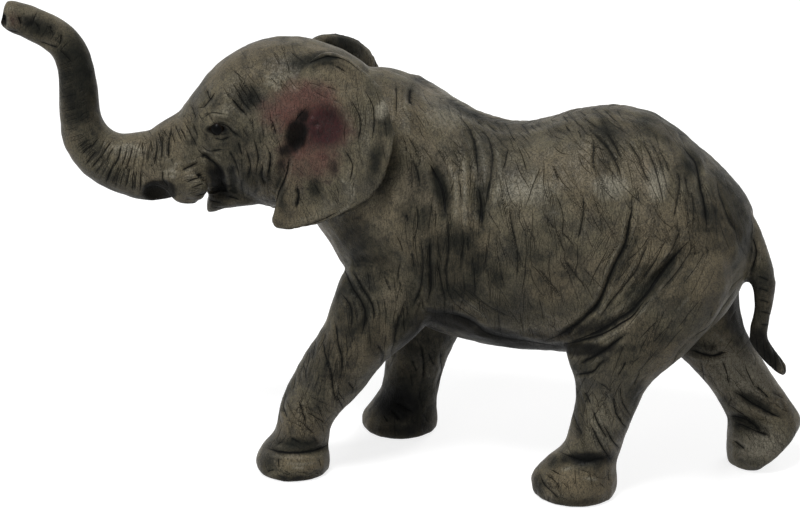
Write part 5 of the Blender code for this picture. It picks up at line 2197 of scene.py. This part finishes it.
@dataclass(frozen=True)
class Studio:
    """Plain white floor, even surroundings and soft lamps."""

    floor_size: float = 8.0
    floor_colour: Colour = (0.36, 0.36, 0.36, 1.0)
    floor_roughness: float = 0.9
    floor_glow: float = 0.80
    rise_from: float = 0.25
    rise_to: float = 1.2
    ambient: float = 0.18
    aim: Place = (0.0, 0.0, 0.045)
    lamps: tuple[SoftLamp, ...] = (
        SoftLamp("overhead", (-0.12, -0.42, 0.85), 0.28, 6.6),
        SoftLamp("front", (-0.45, -0.90, 0.25), 0.40, 1.5, shows=False),
        SoftLamp("rear", (0.30, 0.85, 0.45), 0.55, 5.0, shows=False),
    )

    def build(self) -> None:
        """Lay the floor, hang the lamps and light the surroundings."""
        shape = bmesh.new()
        bmesh.ops.create_grid(shape, x_segments=4, y_segments=4, size=self.floor_size / 2)
        mesh = bpy.data.meshes.new("floor")
        shape.to_mesh(mesh)
        shape.free()
        floor = placed("floor", mesh)
        floor.location.z = FLOOR_DROP
        mesh.materials.append(self.paper())
        for lamp in self.lamps:
            lamp.hang(Vector(self.aim))
        world = bpy.data.worlds.new("surroundings")
        world.use_nodes = True
        nodes = world.node_tree.nodes
        background = nodes["Background"]
        path = nodes.new("ShaderNodeLightPath")
        rays = [path.outputs[f"Is {kind} Ray"] for kind in ("Camera", "Glossy", "Transmission")]
        seen = rays[0]
        for ray in rays[1:]:
            either = nodes.new("ShaderNodeMath")
            either.operation = "MAXIMUM"
            world.node_tree.links.new(seen, either.inputs[0])
            world.node_tree.links.new(ray, either.inputs[1])
            seen = either.outputs[0]
        strength = nodes.new("ShaderNodeMapRange")
        strength.inputs["To Min"].default_value = self.ambient
        strength.inputs["To Max"].default_value = 1.0
        world.node_tree.links.new(seen, strength.inputs["Value"])
        world.node_tree.links.new(strength.outputs[0], background.inputs["Strength"])
        background.inputs["Color"].default_value = (1.0, 1.0, 1.0, 1.0)
        bpy.context.scene.world = world

    def paper(self) -> bpy.types.Material:
        """Make the floor's white paper, which shows white and still takes a shadow.

        Returns:
            The material.
        """
        nodes = Nodes("white_paper")
        path = nodes.add("ShaderNodeLightPath")
        seen = nodes.math("MAXIMUM", path.outputs["Is Camera Ray"], path.outputs["Is Glossy Ray"])
        seen = nodes.math("MAXIMUM", seen, path.outputs["Is Transmission Ray"])
        place = nodes.add("ShaderNodeTexCoord").outputs["Object"]
        length = nodes.add("ShaderNodeVectorMath", operation="LENGTH")
        nodes.join(place, length.inputs[0])
        rise = (self.rise_from, self.rise_to, 1.0 - self.floor_glow)
        far = nodes.rise(length.outputs["Value"], *rise)
        glow = nodes.math("MULTIPLY", seen, nodes.math("ADD", far, self.floor_glow))
        nodes.join(glow, nodes.shader.inputs["Emission Strength"])
        nodes.shader.inputs["Emission Color"].default_value = (1.0, 1.0, 1.0, 1.0)
        nodes.shader.inputs["Base Color"].default_value = self.floor_colour
        nodes.shader.inputs["Roughness"].default_value = self.floor_roughness
        return nodes.material


class Calf:
    """The whole figure: its skin, its moulded parts and its eyes."""

    FINE_VOXEL = 0.56 * MM
    QUICK_VOXEL = 0.80 * MM

    def __init__(self, view: PhotoView) -> None:
        """List the parts.

        Args:
            view: The camera that the strokes are drawn from.
        """
        self.view = view
        self.parts = (
            Trunk(), Head(), LowerJaw(), Ear("left_ear"),
            Ear("right_ear", mirror=HEAD_MIRROR, mounds=(*Ear.mounds, Ear.shade)),
            Torso("torso_left"), Torso("torso_right", mirror=BODY_MIRROR), FrontLeftLeg(),
            FrontRightLeg(), HindLeftLeg(), HindRightLeg(), Tail(),
        )
        self.eyes = (Eye("left_eye", -1), Eye("right_eye", 1))

    def build(self) -> None:
        """Wrap, carve, paint and part the skin, and set the eyes."""
        pieces = self.parts + self.eyes
        nodes = {piece.name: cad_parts[piece.name] for piece in pieces}
        skin = Skin(nodes, self.FINE_VOXEL, self.view)
        LOG.info("skin: %d points", skin.sheet.count)
        for part in self.parts:
            part.carve(skin)
        for eye in self.eyes:
            skin.open_eye(eye)
        Weathering(skin).apply()
        skin.finish()
        patches = part_skin(skin)
        paint = SkinPaint().make()
        for part in self.parts:
            part.build(patches[part.name])
            part.dress(paint)
        eye_paint = EyePaint().make()
        for eye in self.eyes:
            eye.dress(eye.build(), eye_paint)


def main() -> None:
    """Build the calf and its studio."""
    logging.basicConfig(level=logging.INFO, format="%(name)s: %(message)s")
    bpy.context.scene.view_settings.view_transform = "Standard"
    view = PhotoView()
    view.make_camera()
    Studio().build()
    Calf(view).build()


if __name__ == "__main__":
    main()
